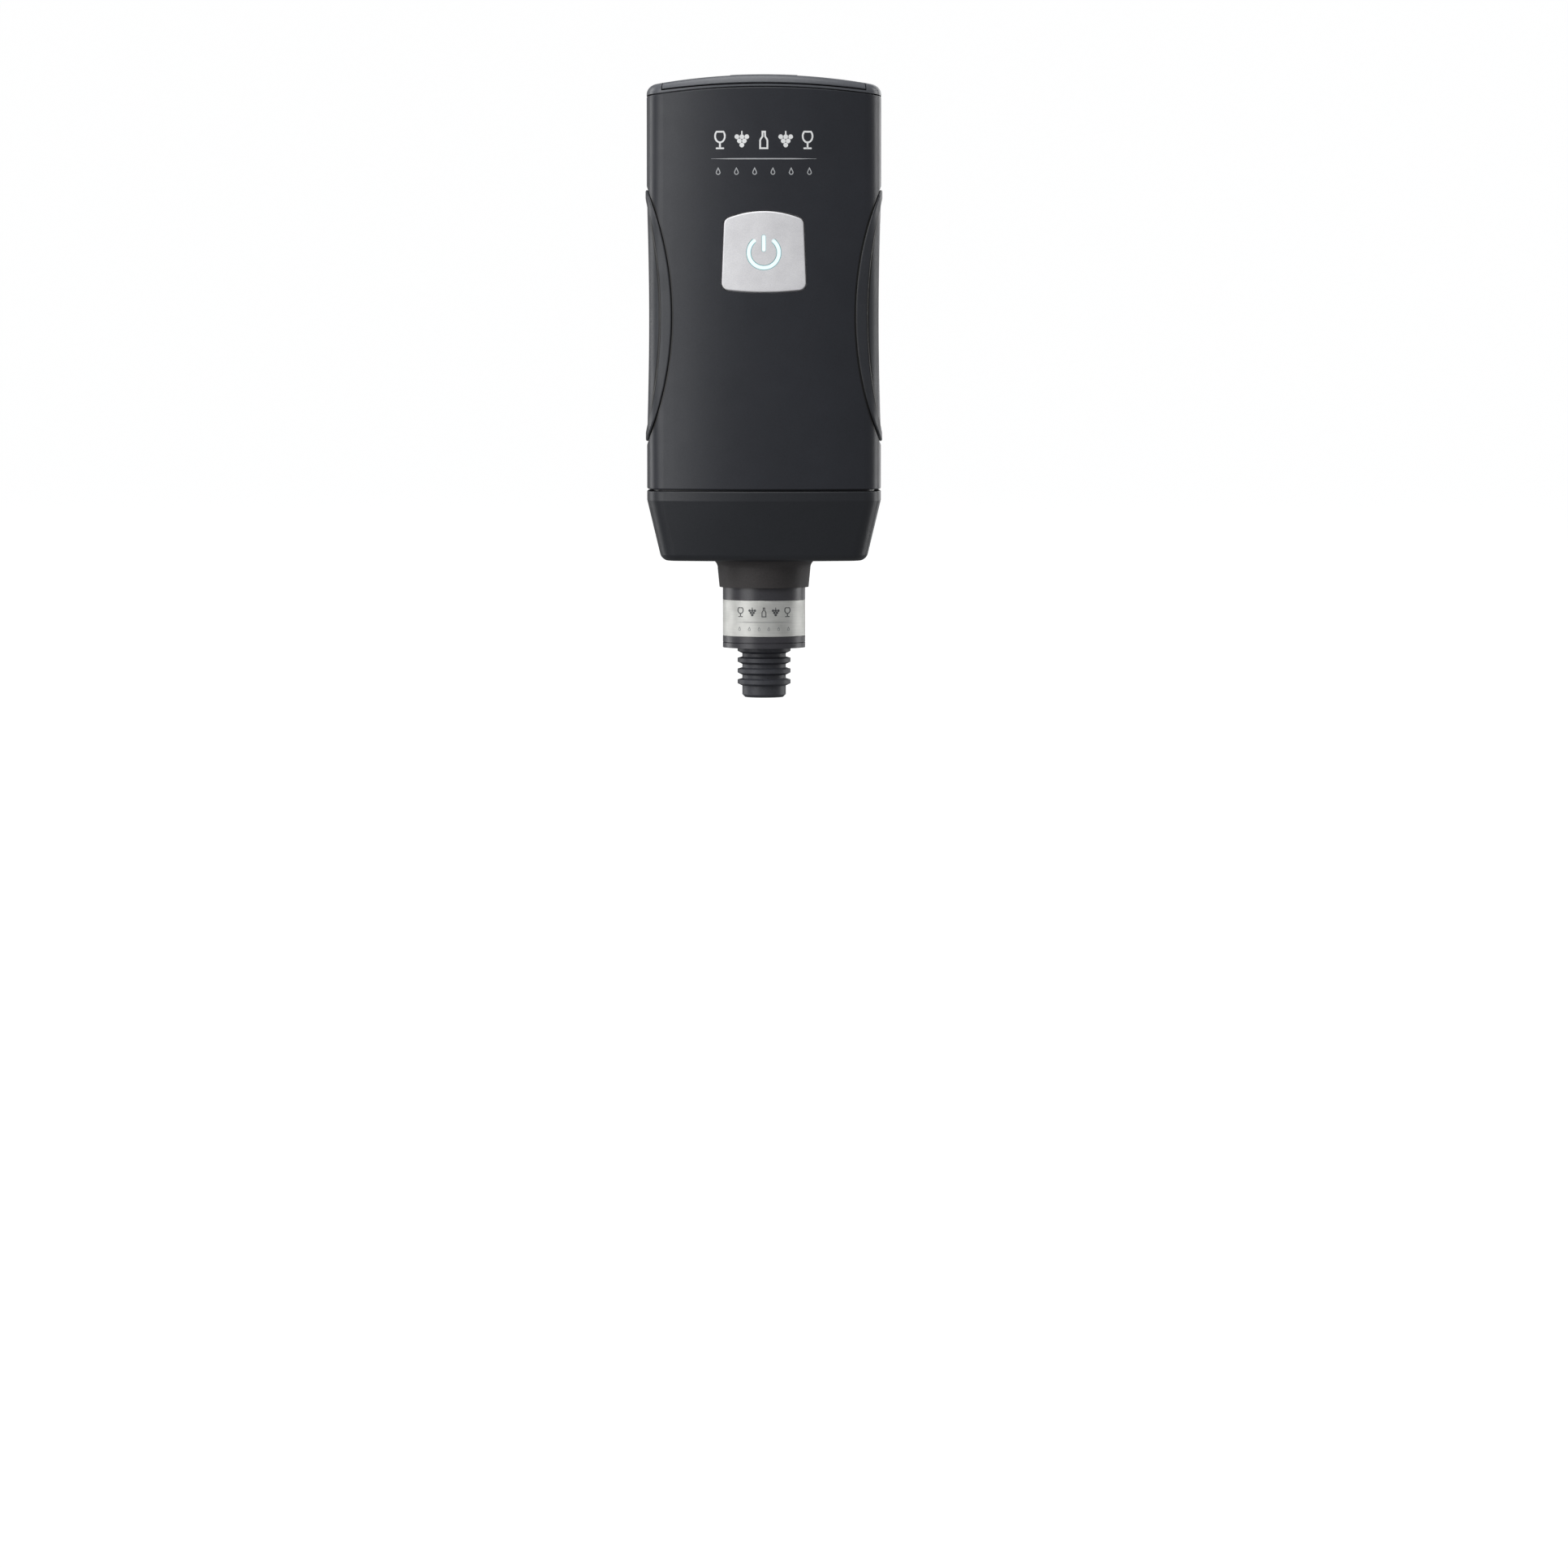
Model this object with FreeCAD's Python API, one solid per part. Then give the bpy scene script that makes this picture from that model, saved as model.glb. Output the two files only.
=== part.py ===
import FreeCAD, Part
import math
import os

Vector = FreeCAD.Vector
X_AXIS = Vector(1, 0, 0)
Y_AXIS = Vector(0, 1, 0)
Z_AXIS = Vector(0, 0, 1)

# A hand-held vacuum pump standing on its bottle stopper, in millimetres.
# The origin is on the stopper's axis at the level of the bottle's lip. +Z is up and the button faces -Y.

# Body: a rounded prism whose four faces are gentle arcs.
HALF_WIDTH = 42.15
HALF_DEPTH = 27.0
FACE_R = 115.0
SIDE_R = 140.0
CORNER_R = 8.0
WALL = 2.2
LIP_INSET = WALL + 0.2
LIP_INNER = WALL + 2.0
SHELL_BOTTOM = 57.4
SEAM_TOP = 200.9
SEAM_R = 300.0
SEAM_GAP = 0.35
CROWN_TOP = 205.1
CROWN_R = 240.0
CROWN_FILLET = 3.2
EDGE_FILLET = 0.4
PART_GAP = 0.06

# Base cap: a short upright strip over a tapering bowl.
BASE_TOP = 56.7
TAPER_TOP = 53.3
BASE_BOTTOM = 31.6
TAPER_INSET = 5.2
BASE_FLOOR = 2.5

# Side grips: a raised bead round a scooped pad, both cut by arcs seen from the front.
GRIP_Z = 119.45
GRIP_DEPTH = 9.45
GRIP_R = 119.0
PAD_DEPTH = 5.0
PAD_R = 166.0
GRIP_GAP = 0.35
GRIP_INSET = 1.55
BEAD_PROUD = 0.45
BEAD_ROUND = 0.6
PAD_SCOOP = 0.9
PAD_PROUD = -0.15
PAD_HALF_LENGTH = 40.4

# Power button
BUTTON_LOW = 127.8
BUTTON_HIGH = 153.6
BUTTON_HALF_LOW = 15.1
BUTTON_HALF_HIGH = 14.1
BUTTON_ARCH = 3.0
BUTTON_GAP = 0.35
BUTTON_PROUD = 0.35
SYMBOL_Z = 141.9
SYMBOL_R = 5.4
SYMBOL_STROKE = 1.8
SYMBOL_OPENING = 43.0
SYMBOL_BAR_LOW = 1.0
SYMBOL_BAR_HIGH = 5.6
BUTTON_LOW_CORNER = 2.6
BUTTON_HIGH_CORNER = 2.4

# Battery lid and its hinge
LID_FRONT_HALF = 36.8
LID_WAIST_R = 190.0
LID_GAP_Z = 202.0
LID_GAP = 0.2
HINGE_Y = 13.5
HINGE_Z = 202.2
HINGE_LID_R = 4.3
HINGE_WALL_R = 4.65
KNUCKLE_R = 2.6
HINGE_PIN_R = 0.8
DECK_UNDER = 196.4
LID_WAIST_X = LID_FRONT_HALF - (
    LID_WAIST_R - math.sqrt(LID_WAIST_R**2 - (HALF_DEPTH - CROWN_FILLET + HINGE_Y) ** 2)
)
KNUCKLES_FIXED = (6.3, 9.7)
KNUCKLES_LID = (10.0, 14.0)
OPENING_HALF_X = 31.5
OPENING_FRONT = -9.9
OPENING_REAR = 7.9
CATCH_HALF_X = 4.0
CATCH_FRONT = -20.9
CATCH_REAR = -19.7

# Cells and their tray
CELL_R = 7.1
CELL_LOW = 147.4
CELL_LENGTH = 50.5
CELL_PITCH = 15.6
CELL_Y = -1.0
TRAY_HALF_X = 32.2
TRAY_HALF_Y = 8.7
TRAY_LOW = 142.5
TRAY_HIGH = 196.0
TRAY_FLOOR = 144.0
SPRING_R = 3.4
SPRING_WIRE_R = 0.3
SPRING_TURNS = 3.5

# Stopper
STOPPER_R = 14.9
RING_HIGH = 4.2
BAND_HIGH = 17.3
CAP_HIGH = 27.8
PLUG_R = 7.9
RIB_R = 9.6
LIP_SEAT_R = 10.3
LIP_SEAT_DEEP = 0.4
RIB_HALF = 0.7
RIB_PITCH = 3.9
PLUG_LENGTH = 18.0
AIRWAY_R = 3.0
VALVE_FLOOR = 19.5

# Nozzle
NOZZLE_LOW = 21.8
NOZZLE_BORE_R = 15.15
NOZZLE_CEILING = 28.7
NOZZLE_TOP = BASE_BOTTOM + BASE_FLOOR + 1.6

# Motor and pump head, one under the other on the vertical axis
MOTOR_R = 12.0
MOTOR_LOW = 94.0
MOTOR_HIGH = 124.0
SHAFT_R = 1.0
SHAFT_RUNNING = 0.05
HEAD_R = 15.5
HEAD_SCREW_R = 14.1
WOBBLE_Z = 80.0
WOBBLE_TILT = 8.0
CUP_RADIUS = 7.2
MEMBRANE_LOW = 74.6
MEMBRANE_HIGH = 75.6
PORT_LOW = 71.6
COVER_LOW = 64.0
INLET_X = 5.0
LEAD_X = 7.0

# Circuit board, upright behind the button
BOARD_FRONT = -18.6
BOARD_BACK = -17.0
BOARD_HALF = 21.0
BOARD_LOW = 108.0
BOARD_HIGH = 172.0
BOARD_POSTS = [(17.0, 112.0), (17.0, 168.0)]

# Bosses and screws of the right half, which the left half mirrors
BOSS_PLACES = [(30.0, 70.0), (34.9, 172.0)]
BOSS_R = 2.7
SHELL_SCREW_Y = 11.0
BASE_SCREW_X = 29.0
BASE_SCREW_Y = 5.5
BASE_WELL_TOP = 52.0
CLAMP_X = 20.0
TRAY_RIB_X = 25.0

# The motor's saddle and strap
CRADLE_X = 14.0
CRADLE_Z = 107.0
CRADLE_FRONT = 2.0
CRADLE_BACK = 18.9
CRADLE_SCREW_Y = 13.5
STRAP_X = 15.9
STRAP_Y = 0.75
STRAP_SCREW_Z = 112.6

# The pump head has three cups, and three screws between them.
CUP_ANGLES = (0, 120, 240)
SCREW_ANGLES = (60, 180, 300)

# Hose and leads
HOSE_R = 2.6
HOSE_BORE_R = 1.55
LEAD_R = 0.6
MOTOR_LEAD_Z = 136.0
CELL_LEAD_X = 17.0
CELL_LEAD_Z = 133.5

nodes = {}


def box(x0, x1, y0, y1, z0, z1):
    return Part.makeBox(x1 - x0, y1 - y0, z1 - z0, Vector(x0, y0, z0))


def disc(r, z0, z1, x=0.0, y=0.0):
    return Part.makeCylinder(r, z1 - z0, Vector(x, y, z0), Z_AXIS)


def ring(r_out, r_in, z0, z1, x=0.0, y=0.0):
    return disc(r_out, z0, z1, x, y).cut(disc(r_in, z0 - 1, z1 + 1, x, y))


def rod_x(r, x0, x1, y, z):
    return Part.makeCylinder(r, x1 - x0, Vector(x0, y, z), X_AXIS)


def rod_y(r, y0, y1, x, z):
    return Part.makeCylinder(r, y1 - y0, Vector(x, y0, z), Y_AXIS)


def fuse(shapes):
    whole = shapes[0]
    for shape in shapes[1:]:
        whole = whole.fuse(shape)
    return whole.removeSplitter()


def mirrored(shape):
    """The same shape on the other side of the middle plane, x = 0."""
    return shape.mirror(Vector(0, 0, 0), X_AXIS)


def both_sides(shape):
    return [shape, mirrored(shape)]


def turned(shape, degrees):
    return shape.rotated(Vector(0, 0, 0), Z_AXIS, degrees)


def revolved(profile):
    """Turn a closed outline of (radius, height) points about the vertical axis. A third value bulges the side
    that starts at that point: it is the middle point of an arc."""
    edges = []
    for start, end in zip(profile, profile[1:] + profile[:1]):
        a = Vector(start[0], 0, start[1])
        b = Vector(end[0], 0, end[1])
        if len(start) > 2:
            edges.append(Part.Arc(a, Vector(start[2][0], 0, start[2][1]), b).toShape())
        else:
            edges.append(Part.LineSegment(a, b).toShape())
    return Part.Face(Part.Wire(edges)).revolve(Vector(0, 0, 0), Z_AXIS, 360)


def filleted(shape, radius, wanted):
    """Round the edges that wanted(edge) picks."""
    return shape.makeFillet(radius, [e for e in shape.Edges if wanted(e)])


def tube_along(points, radius, bend):
    """A round bar along straight runs joined by tangent arcs of one radius."""
    points = [Vector(*p) for p in points]
    edges = []
    at = points[0]
    length = 0.0
    for before, corner, after in zip(points, points[1:], points[2:]):
        u = (corner - before).normalize()
        v = (after - corner).normalize()
        turn = u.getAngle(v)
        reach = bend * math.tan(turn / 2)
        start = corner - u * reach
        end = corner + v * reach
        middle = corner + (v - u).normalize() * (bend / math.cos(turn / 2) - bend)
        edges.append(Part.LineSegment(at, start).toShape())
        edges.append(Part.Arc(start, middle, end).toShape())
        length += (start - at).Length + bend * turn
        at = end
    edges.append(Part.LineSegment(at, points[-1]).toShape())
    length += (points[-1] - at).Length
    path = Part.Wire(edges)
    first = (points[1] - points[0]).normalize()
    profile = Part.Wire([Part.Circle(points[0], first, radius).toShape()])
    solid = path.makePipeShell([profile], True, False)
    return solid, length


def plan_wire(inset, z, half_width=HALF_WIDTH, half_depth=HALF_DEPTH, corner=CORNER_R):
    """The body's outline at height z, moved inwards by inset."""
    face_centre = Vector(0, FACE_R - half_depth, 0)
    side_centre = Vector(half_width - SIDE_R, 0, 0)
    a = FACE_R - corner
    b = SIDE_R - corner
    apart = side_centre - face_centre
    d = apart.Length
    along = (a * a - b * b + d * d) / (2 * d)
    off = math.sqrt(a * a - along * along)
    u = apart * (1 / d)
    corner_centre = face_centre + u * along + Vector(-u.y, u.x, 0) * off
    front_end = face_centre + (corner_centre - face_centre) * ((FACE_R - inset) / a)
    side_end = side_centre + (corner_centre - side_centre) * ((SIDE_R - inset) / b)
    outward = ((front_end - corner_centre) + (side_end - corner_centre)).normalize()
    corner_mid = corner_centre + outward * (corner - inset)
    right = [front_end, corner_mid, side_end, Vector(half_width - inset, 0, 0)]
    right += [Vector(p.x, -p.y, 0) for p in (side_end, corner_mid, front_end)]
    rear_mid = Vector(0, half_depth - inset, 0)
    left = [Vector(-p.x, p.y, 0) for p in reversed(right)]
    loop = right + [rear_mid] + left + [Vector(0, inset - half_depth, 0)]
    loop = [Vector(p.x, p.y, z) for p in loop]
    count = len(loop)
    arcs = [
        Part.Arc(loop[i], loop[i + 1], loop[(i + 2) % count]).toShape()
        for i in range(0, count, 2)
    ]
    return Part.Wire(arcs)


def prism(inset, z0, z1):
    return Part.Face(plan_wire(inset, z0)).extrude(Vector(0, 0, z1 - z0))


def under_arch(radius, top):
    """Everything under a wide arch that runs from side to side."""
    arch = rod_y(radius, -60, 60, 0, top - radius)
    # half a turn takes the cylinder's own seam away from the arch
    return arch.rotated(Vector(0, 0, top - radius), Y_AXIS, 180)


def screw(at, along, head_r, head_h, shank_r, length, slot=0.5):
    """A cross-recessed pan-head screw: its head's underside is at `at`, and its shank points along `along`."""
    head = Part.makeCylinder(head_r, head_h, Vector(0, 0, -head_h), Z_AXIS)
    head = filleted(head, head_h * 0.4, lambda e: e.BoundBox.ZMax < -head_h * 0.9)
    arm = head_r * 1.1
    for flip in (0, 90):
        cut = box(-arm / 2, arm / 2, -slot / 2, slot / 2, -head_h - 1, -head_h * 0.45)
        head = head.cut(turned(cut, flip))
    shape = head.fuse(Part.makeCylinder(shank_r, length, Vector(0, 0, 0), Z_AXIS))
    turn = FreeCAD.Rotation(Z_AXIS, Vector(*along))
    return shape.transformed(FreeCAD.Placement(Vector(*at), turn).toMatrix())


def keep(name, shape):
    """Store one node: a single solid, or a group of solids."""
    if isinstance(shape, list):
        shape = Part.makeCompound(shape)
    nodes[name] = shape


# ---------------------------------------------------------------- casing

def grip_space(radius, depth, side):
    """All that lies outside a grip arc on one side."""
    x = HALF_WIDTH - depth + radius
    return rod_y(radius, -40, 40, side * x, GRIP_Z)


def casing():
    """The front and rear shells, one hollow prism parted down the sides."""
    top = under_arch(SEAM_R, SEAM_TOP - SEAM_GAP / 2)
    outer = prism(0, SHELL_BOTTOM, 210).common(top)
    outer = filleted(outer, EDGE_FILLET, lambda e: e.BoundBox.ZMax < SHELL_BOTTOM + 0.1)
    outer = filleted(outer, EDGE_FILLET, lambda e: e.BoundBox.ZMin > 197)
    hollow = prism(WALL, SHELL_BOTTOM - 1, 211)
    wall = outer.cut(hollow)
    for side in (1, -1):
        # the grips lie in a recess, and the wall behind it is thickened inwards
        recess = grip_space(GRIP_R + GRIP_GAP, GRIP_DEPTH, side).cut(prism(GRIP_INSET, 40, 210))
        backing = prism(GRIP_INSET, 66, 173).cut(prism(GRIP_INSET + 1.9, 60, 180))
        backing = backing.common(grip_space(GRIP_R + 2.0, GRIP_DEPTH, side))
        wall = wall.cut(recess).fuse(backing)
    wall = wall.removeSplitter()
    front = wall.common(box(-60, 60, -60, -PART_GAP, 0, 230))
    rear = wall.common(box(-60, 60, PART_GAP, 60, 0, 230))
    return front, rear


def front_shell(shell):
    inside = prism(WALL - 0.3, 40, 199).common(box(-60, 60, -60, -PART_GAP, 0, 230))
    added = []
    for x, z in BOSS_PLACES:
        added += both_sides(rod_y(BOSS_R, -30, -PART_GAP, x, z))
    for x, z in BOARD_POSTS:
        added += both_sides(rod_y(2.4, -30, BOARD_FRONT, x, z))
    for post in added:
        shell = shell.fuse(post.common(inside))
    for x, z in BOSS_PLACES:
        for hole in both_sides(rod_y(1.1, -13, 1, x, z)):
            shell = shell.cut(hole)
    for x, z in BOARD_POSTS:
        for hole in both_sides(rod_y(0.8, -23, BOARD_FRONT + 1, x, z)):
            shell = shell.cut(hole)
    opening = button_block(BUTTON_GAP, -40, -20)
    return shell.cut(opening).removeSplitter()


def rear_shell(shell):
    inside = prism(WALL - 0.3, 40, 199).common(box(-60, 60, PART_GAP, 60, 0, 230))
    for x, z in BOSS_PLACES:
        for boss in both_sides(rod_y(BOSS_R + 1.2, PART_GAP, 40, x, z)):
            shell = shell.fuse(boss.common(inside).cut(box(-TRAY_HALF_X - 0.1, TRAY_HALF_X + 0.1,
                                                           -12, 8.2, 140, 200)))
    # two lugs take the base cap's screws, and two shelves carry the cell tray
    lug = box(25.5, 45, 1.0, 10.0, 61.6, 66.6).common(inside)
    shelf = box(TRAY_RIB_X, TRAY_RIB_X + 3, 2.0, 40, 136.0, TRAY_LOW).common(inside)
    shelf = shelf.fuse(box(TRAY_RIB_X, TRAY_RIB_X + 3, 8.0, 40, TRAY_LOW, 150).common(inside))
    for extra in both_sides(lug) + both_sides(shelf):
        shell = shell.fuse(extra)
    for post in both_sides(rod_y(2.6, CRADLE_BACK + 0.1, 40, CRADLE_X, CRADLE_Z)):
        shell = shell.fuse(post.common(inside))
    for hole in both_sides(rod_y(0.85, 18, 24, CRADLE_X, CRADLE_Z)):
        shell = shell.cut(hole)
    for x, z in BOSS_PLACES:
        for hole in both_sides(rod_y(1.4, -1, 40, x, z)):
            shell = shell.cut(hole)
        for well in both_sides(rod_y(2.9, SHELL_SCREW_Y, 40, x, z)):
            shell = shell.cut(well)
    for hole in both_sides(disc(1.1, 60, 65.5, BASE_SCREW_X, BASE_SCREW_Y)):
        shell = shell.cut(hole)
    return shell.removeSplitter()


def base_cap():
    def bowl(inset, z0, z1):
        high = plan_wire(inset, z1)
        low = plan_wire(inset, z0, HALF_WIDTH - TAPER_INSET, HALF_DEPTH - TAPER_INSET, CORNER_R - 0.5)
        return Part.makeLoft([low, high], True, True)

    outer = prism(0, TAPER_TOP, BASE_TOP).fuse(bowl(0, BASE_BOTTOM, TAPER_TOP)).removeSplitter()
    outer = filleted(outer, 3.0, lambda e: e.BoundBox.ZMax < BASE_BOTTOM + 0.1)
    outer = filleted(outer, EDGE_FILLET, lambda e: e.BoundBox.ZMin > BASE_TOP - 0.1)
    hollow = bowl(WALL, BASE_BOTTOM + BASE_FLOOR, TAPER_TOP).fuse(prism(WALL, TAPER_TOP, BASE_TOP + 1))
    cap = outer.cut(hollow)
    # an inner lip reaches up behind the seam
    lip = prism(WALL - 0.2, TAPER_TOP - 1.0, BASE_TOP - 0.6).fuse(prism(LIP_INSET, BASE_TOP - 0.7, 61.0))
    lip = lip.cut(prism(LIP_INNER, 50, 62))
    posts = both_sides(disc(4.3, BASE_BOTTOM + 1, 61.2, BASE_SCREW_X, BASE_SCREW_Y))
    bosses = both_sides(disc(3.0, BASE_BOTTOM + 1, NOZZLE_TOP - 0.05, CLAMP_X, 0))
    cap = fuse([cap, lip] + posts + bosses)
    cuts = [disc(13.65, 30, 35)]
    cuts += both_sides(disc(3.0, 30, BASE_WELL_TOP, BASE_SCREW_X, BASE_SCREW_Y))
    cuts += both_sides(disc(1.5, 50, 62, BASE_SCREW_X, BASE_SCREW_Y))
    cuts += both_sides(disc(0.9, 33, 37, CLAMP_X, 0))
    # pumped air leaves by three slots in the rear wall
    for x in (-5.0, 0.0, 5.0):
        cuts.append(box(x - 0.7, x + 0.7, 15, 32, 42, 50))
    for cut in cuts:
        cap = cap.cut(cut)
    return cap


# ---------------------------------------------------------------- crown and battery lid

def crown_block():
    block = prism(0, 190, 210).common(under_arch(CROWN_R, CROWN_TOP))
    return filleted(block, CROWN_FILLET, lambda e: e.BoundBox.ZMin > 195)


def lid_plan(grow, barrel_r):
    """The lid's footprint: waisted sides, and a rear edge rounded about the hinge."""
    centre_x = LID_WAIST_X + grow + LID_WAIST_R
    slab = box(-centre_x, centre_x, -60, HINGE_Y, 190, 215)
    barrel = rod_x(barrel_r, -LID_WAIST_X - grow, LID_WAIST_X + grow, HINGE_Y, HINGE_Z)
    for side in (1, -1):
        slab = slab.cut(disc(LID_WAIST_R, 180, 220, side * centre_x, HINGE_Y))
    return slab.fuse(barrel)


def top_surround(block):
    crown = block.cut(under_arch(SEAM_R, SEAM_TOP + SEAM_GAP / 2))
    floor = under_arch(SEAM_R, LID_GAP_Z - LID_GAP)
    inner = prism(LIP_INSET, 193.0, 206).common(floor)
    deck = inner.common(box(-60, 60, -60, 60, DECK_UNDER, 210))
    collar = inner.cut(prism(LIP_INNER, 190, 210))
    body = fuse([crown, deck, collar])
    space = lid_plan(LID_GAP + 0.15, HINGE_WALL_R)
    trough = rod_x(HINGE_WALL_R, -LID_WAIST_X - 0.3, LID_WAIST_X + 0.3, HINGE_Y, HINGE_Z)
    body = body.cut(space.cut(floor)).cut(trough)
    body = body.cut(box(-OPENING_HALF_X, OPENING_HALF_X, OPENING_FRONT, OPENING_REAR, 190, 215))
    slot_x = CATCH_HALF_X + 0.6
    body = body.cut(box(-slot_x, slot_x, CATCH_FRONT - 0.7, CATCH_REAR + 0.7, 190, 215))
    x0, x1 = KNUCKLES_FIXED
    knuckle = rod_x(KNUCKLE_R, x0, x1, HINGE_Y, HINGE_Z)
    neck = box(x0, x1, HINGE_Y - 1.2, HINGE_Y + 5.0, DECK_UNDER, HINGE_Z)
    for lug in both_sides(knuckle.fuse(neck)):
        body = body.fuse(lug)
    for hole in both_sides(rod_x(HINGE_PIN_R, x0 - 1, x1 + 0.1, HINGE_Y, HINGE_Z)):
        body = body.cut(hole)
    return body.removeSplitter()


def battery_lid(block):
    shape = block.common(lid_plan(0, HINGE_LID_R)).cut(under_arch(SEAM_R, LID_GAP_Z + LID_GAP))
    shape = filleted(shape, 0.3, lambda e: e.BoundBox.ZMax < 202.6 and e.BoundBox.YMax < -20)
    # a pad under the lid holds the contacts down on the cells, and a tongue in front keeps it shut
    pad = box(-29.5, 29.5, -8.5, 5.5, 199.6, 203)
    tongue = box(-CATCH_HALF_X, CATCH_HALF_X, CATCH_FRONT, CATCH_REAR, 198.6, 203)
    shape = fuse([shape, pad, tongue])
    x0, x1 = KNUCKLES_FIXED
    for side in (1, -1):
        notch = rod_x(KNUCKLE_R + 0.3, x0 - 0.3, x1 + 0.3, HINGE_Y, HINGE_Z)
        notch = notch.fuse(box(x0 - 0.3, x1 + 0.3, HINGE_Y, HINGE_Y + 9, 195, 210))
        shape = shape.cut(notch if side > 0 else mirrored(notch))
    x0, x1 = KNUCKLES_LID
    for lug in both_sides(rod_x(KNUCKLE_R, x0, x1, HINGE_Y, HINGE_Z)):
        shape = shape.fuse(lug)
    for hole in both_sides(rod_x(HINGE_PIN_R + 0.05, x0 - 1, x1 + 1, HINGE_Y, HINGE_Z)):
        shape = shape.cut(hole)
    return shape.removeSplitter()


def crown_nodes():
    block = crown_block()
    keep("top_surround", top_surround(block))
    keep("battery_lid", battery_lid(block))
    pin = rod_x(HINGE_PIN_R, KNUCKLES_FIXED[0] - 0.1, KNUCKLES_LID[1], HINGE_Y, HINGE_Z)
    keep("lid_hinge_pins", both_sides(pin))
    bridges = []
    for side in (1, -1):
        near, far = cell_x(2 if side > 0 else 1), cell_x(3 if side > 0 else 0)
        low, high = min(near, far), max(near, far)
        plate = box(low - 4, high + 4, CELL_Y - 3.5, CELL_Y + 3.5, 199.2, 199.6)
        for x in (near, far):
            plate = plate.fuse(disc(2.2, 198.2, 199.4, x, CELL_Y))
        bridges.append(plate.removeSplitter())
    keep("lid_contacts", bridges)


# ---------------------------------------------------------------- grips

def grip_nodes():
    shell_space = prism(GRIP_INSET, 40, 210)
    for side, name in ((-1, "left"), (1, "right")):
        outside = grip_space(GRIP_R - GRIP_GAP, GRIP_DEPTH, side)
        hole = grip_space(PAD_R + GRIP_GAP, PAD_DEPTH, side)
        bead = prism(-BEAD_PROUD, 60, 180).cut(shell_space).common(outside).cut(hole)
        bead = round_outside(bead, -BEAD_PROUD, BEAD_ROUND)
        keep(name + "_grip_frame", bead)
        pad_zone = grip_space(PAD_R - GRIP_GAP, PAD_DEPTH, side)
        pad = prism(-PAD_PROUD, 60, 180).cut(shell_space).common(pad_zone)
        scoop_r = (PAD_HALF_LENGTH**2 + PAD_SCOOP**2) / (2 * PAD_SCOOP)
        scoop_x = HALF_WIDTH + PAD_PROUD - PAD_SCOOP + scoop_r
        keep(name + "_grip_pad", pad.cut(rod_y(scoop_r, -40, 40, side * scoop_x, GRIP_Z)))


def round_outside(shape, inset, radius):
    """Round the edges of a skin that lie on the body's surface at this inset."""
    surface = Part.Shell([f for f in prism(inset, 50, 190).Faces if f.BoundBox.ZLength > 100])

    def on_surface(edge):
        if edge.BoundBox.XLength + edge.BoundBox.YLength < 1e-3:
            return False
        middle = edge.valueAt((edge.FirstParameter + edge.LastParameter) / 2)
        return surface.distToShape(Part.Vertex(middle))[0] < 1e-3

    return filleted(shape, radius, on_surface)


# ---------------------------------------------------------------- button

def button_outline(grow):
    """The button's outline in front view: leaning sides, an arched top and a slightly bowed bottom."""
    low, high = BUTTON_LOW + 1.0 - grow, BUTTON_HIGH + grow
    a, b = BUTTON_HALF_LOW + grow, BUTTON_HALF_HIGH + grow
    corners = [Vector(-a, 0, low), Vector(a, 0, low), Vector(b, 0, high), Vector(-b, 0, high)]
    bottom = Part.Arc(corners[0], Vector(0, 0, low - 1.0), corners[1]).toShape()
    right = Part.LineSegment(corners[1], corners[2]).toShape()
    top = Part.Arc(corners[2], Vector(0, 0, high + BUTTON_ARCH), corners[3]).toShape()
    left = Part.LineSegment(corners[3], corners[0]).toShape()
    return Part.Wire([bottom, right, top, left])


def button_block(grow, y0, y1):
    block = Part.Face(button_outline(grow)).extrude(Vector(0, y1 - y0, 0))
    block.translate(Vector(0, y0, 0))

    def corner_between(edge, low, high):
        bounds = edge.BoundBox
        return bounds.YLength > y1 - y0 - 0.01 and low < bounds.ZMin and bounds.ZMax < high

    block = filleted(block, BUTTON_LOW_CORNER + grow, lambda e: corner_between(e, 100, SYMBOL_Z))
    return filleted(block, BUTTON_HIGH_CORNER + grow, lambda e: corner_between(e, 150, 180))


def front_cylinder(inset):
    """The cylinder of the front face, moved inwards by inset."""
    return disc(FACE_R - inset, 100, 180, 0, FACE_R - HALF_DEPTH)


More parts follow.
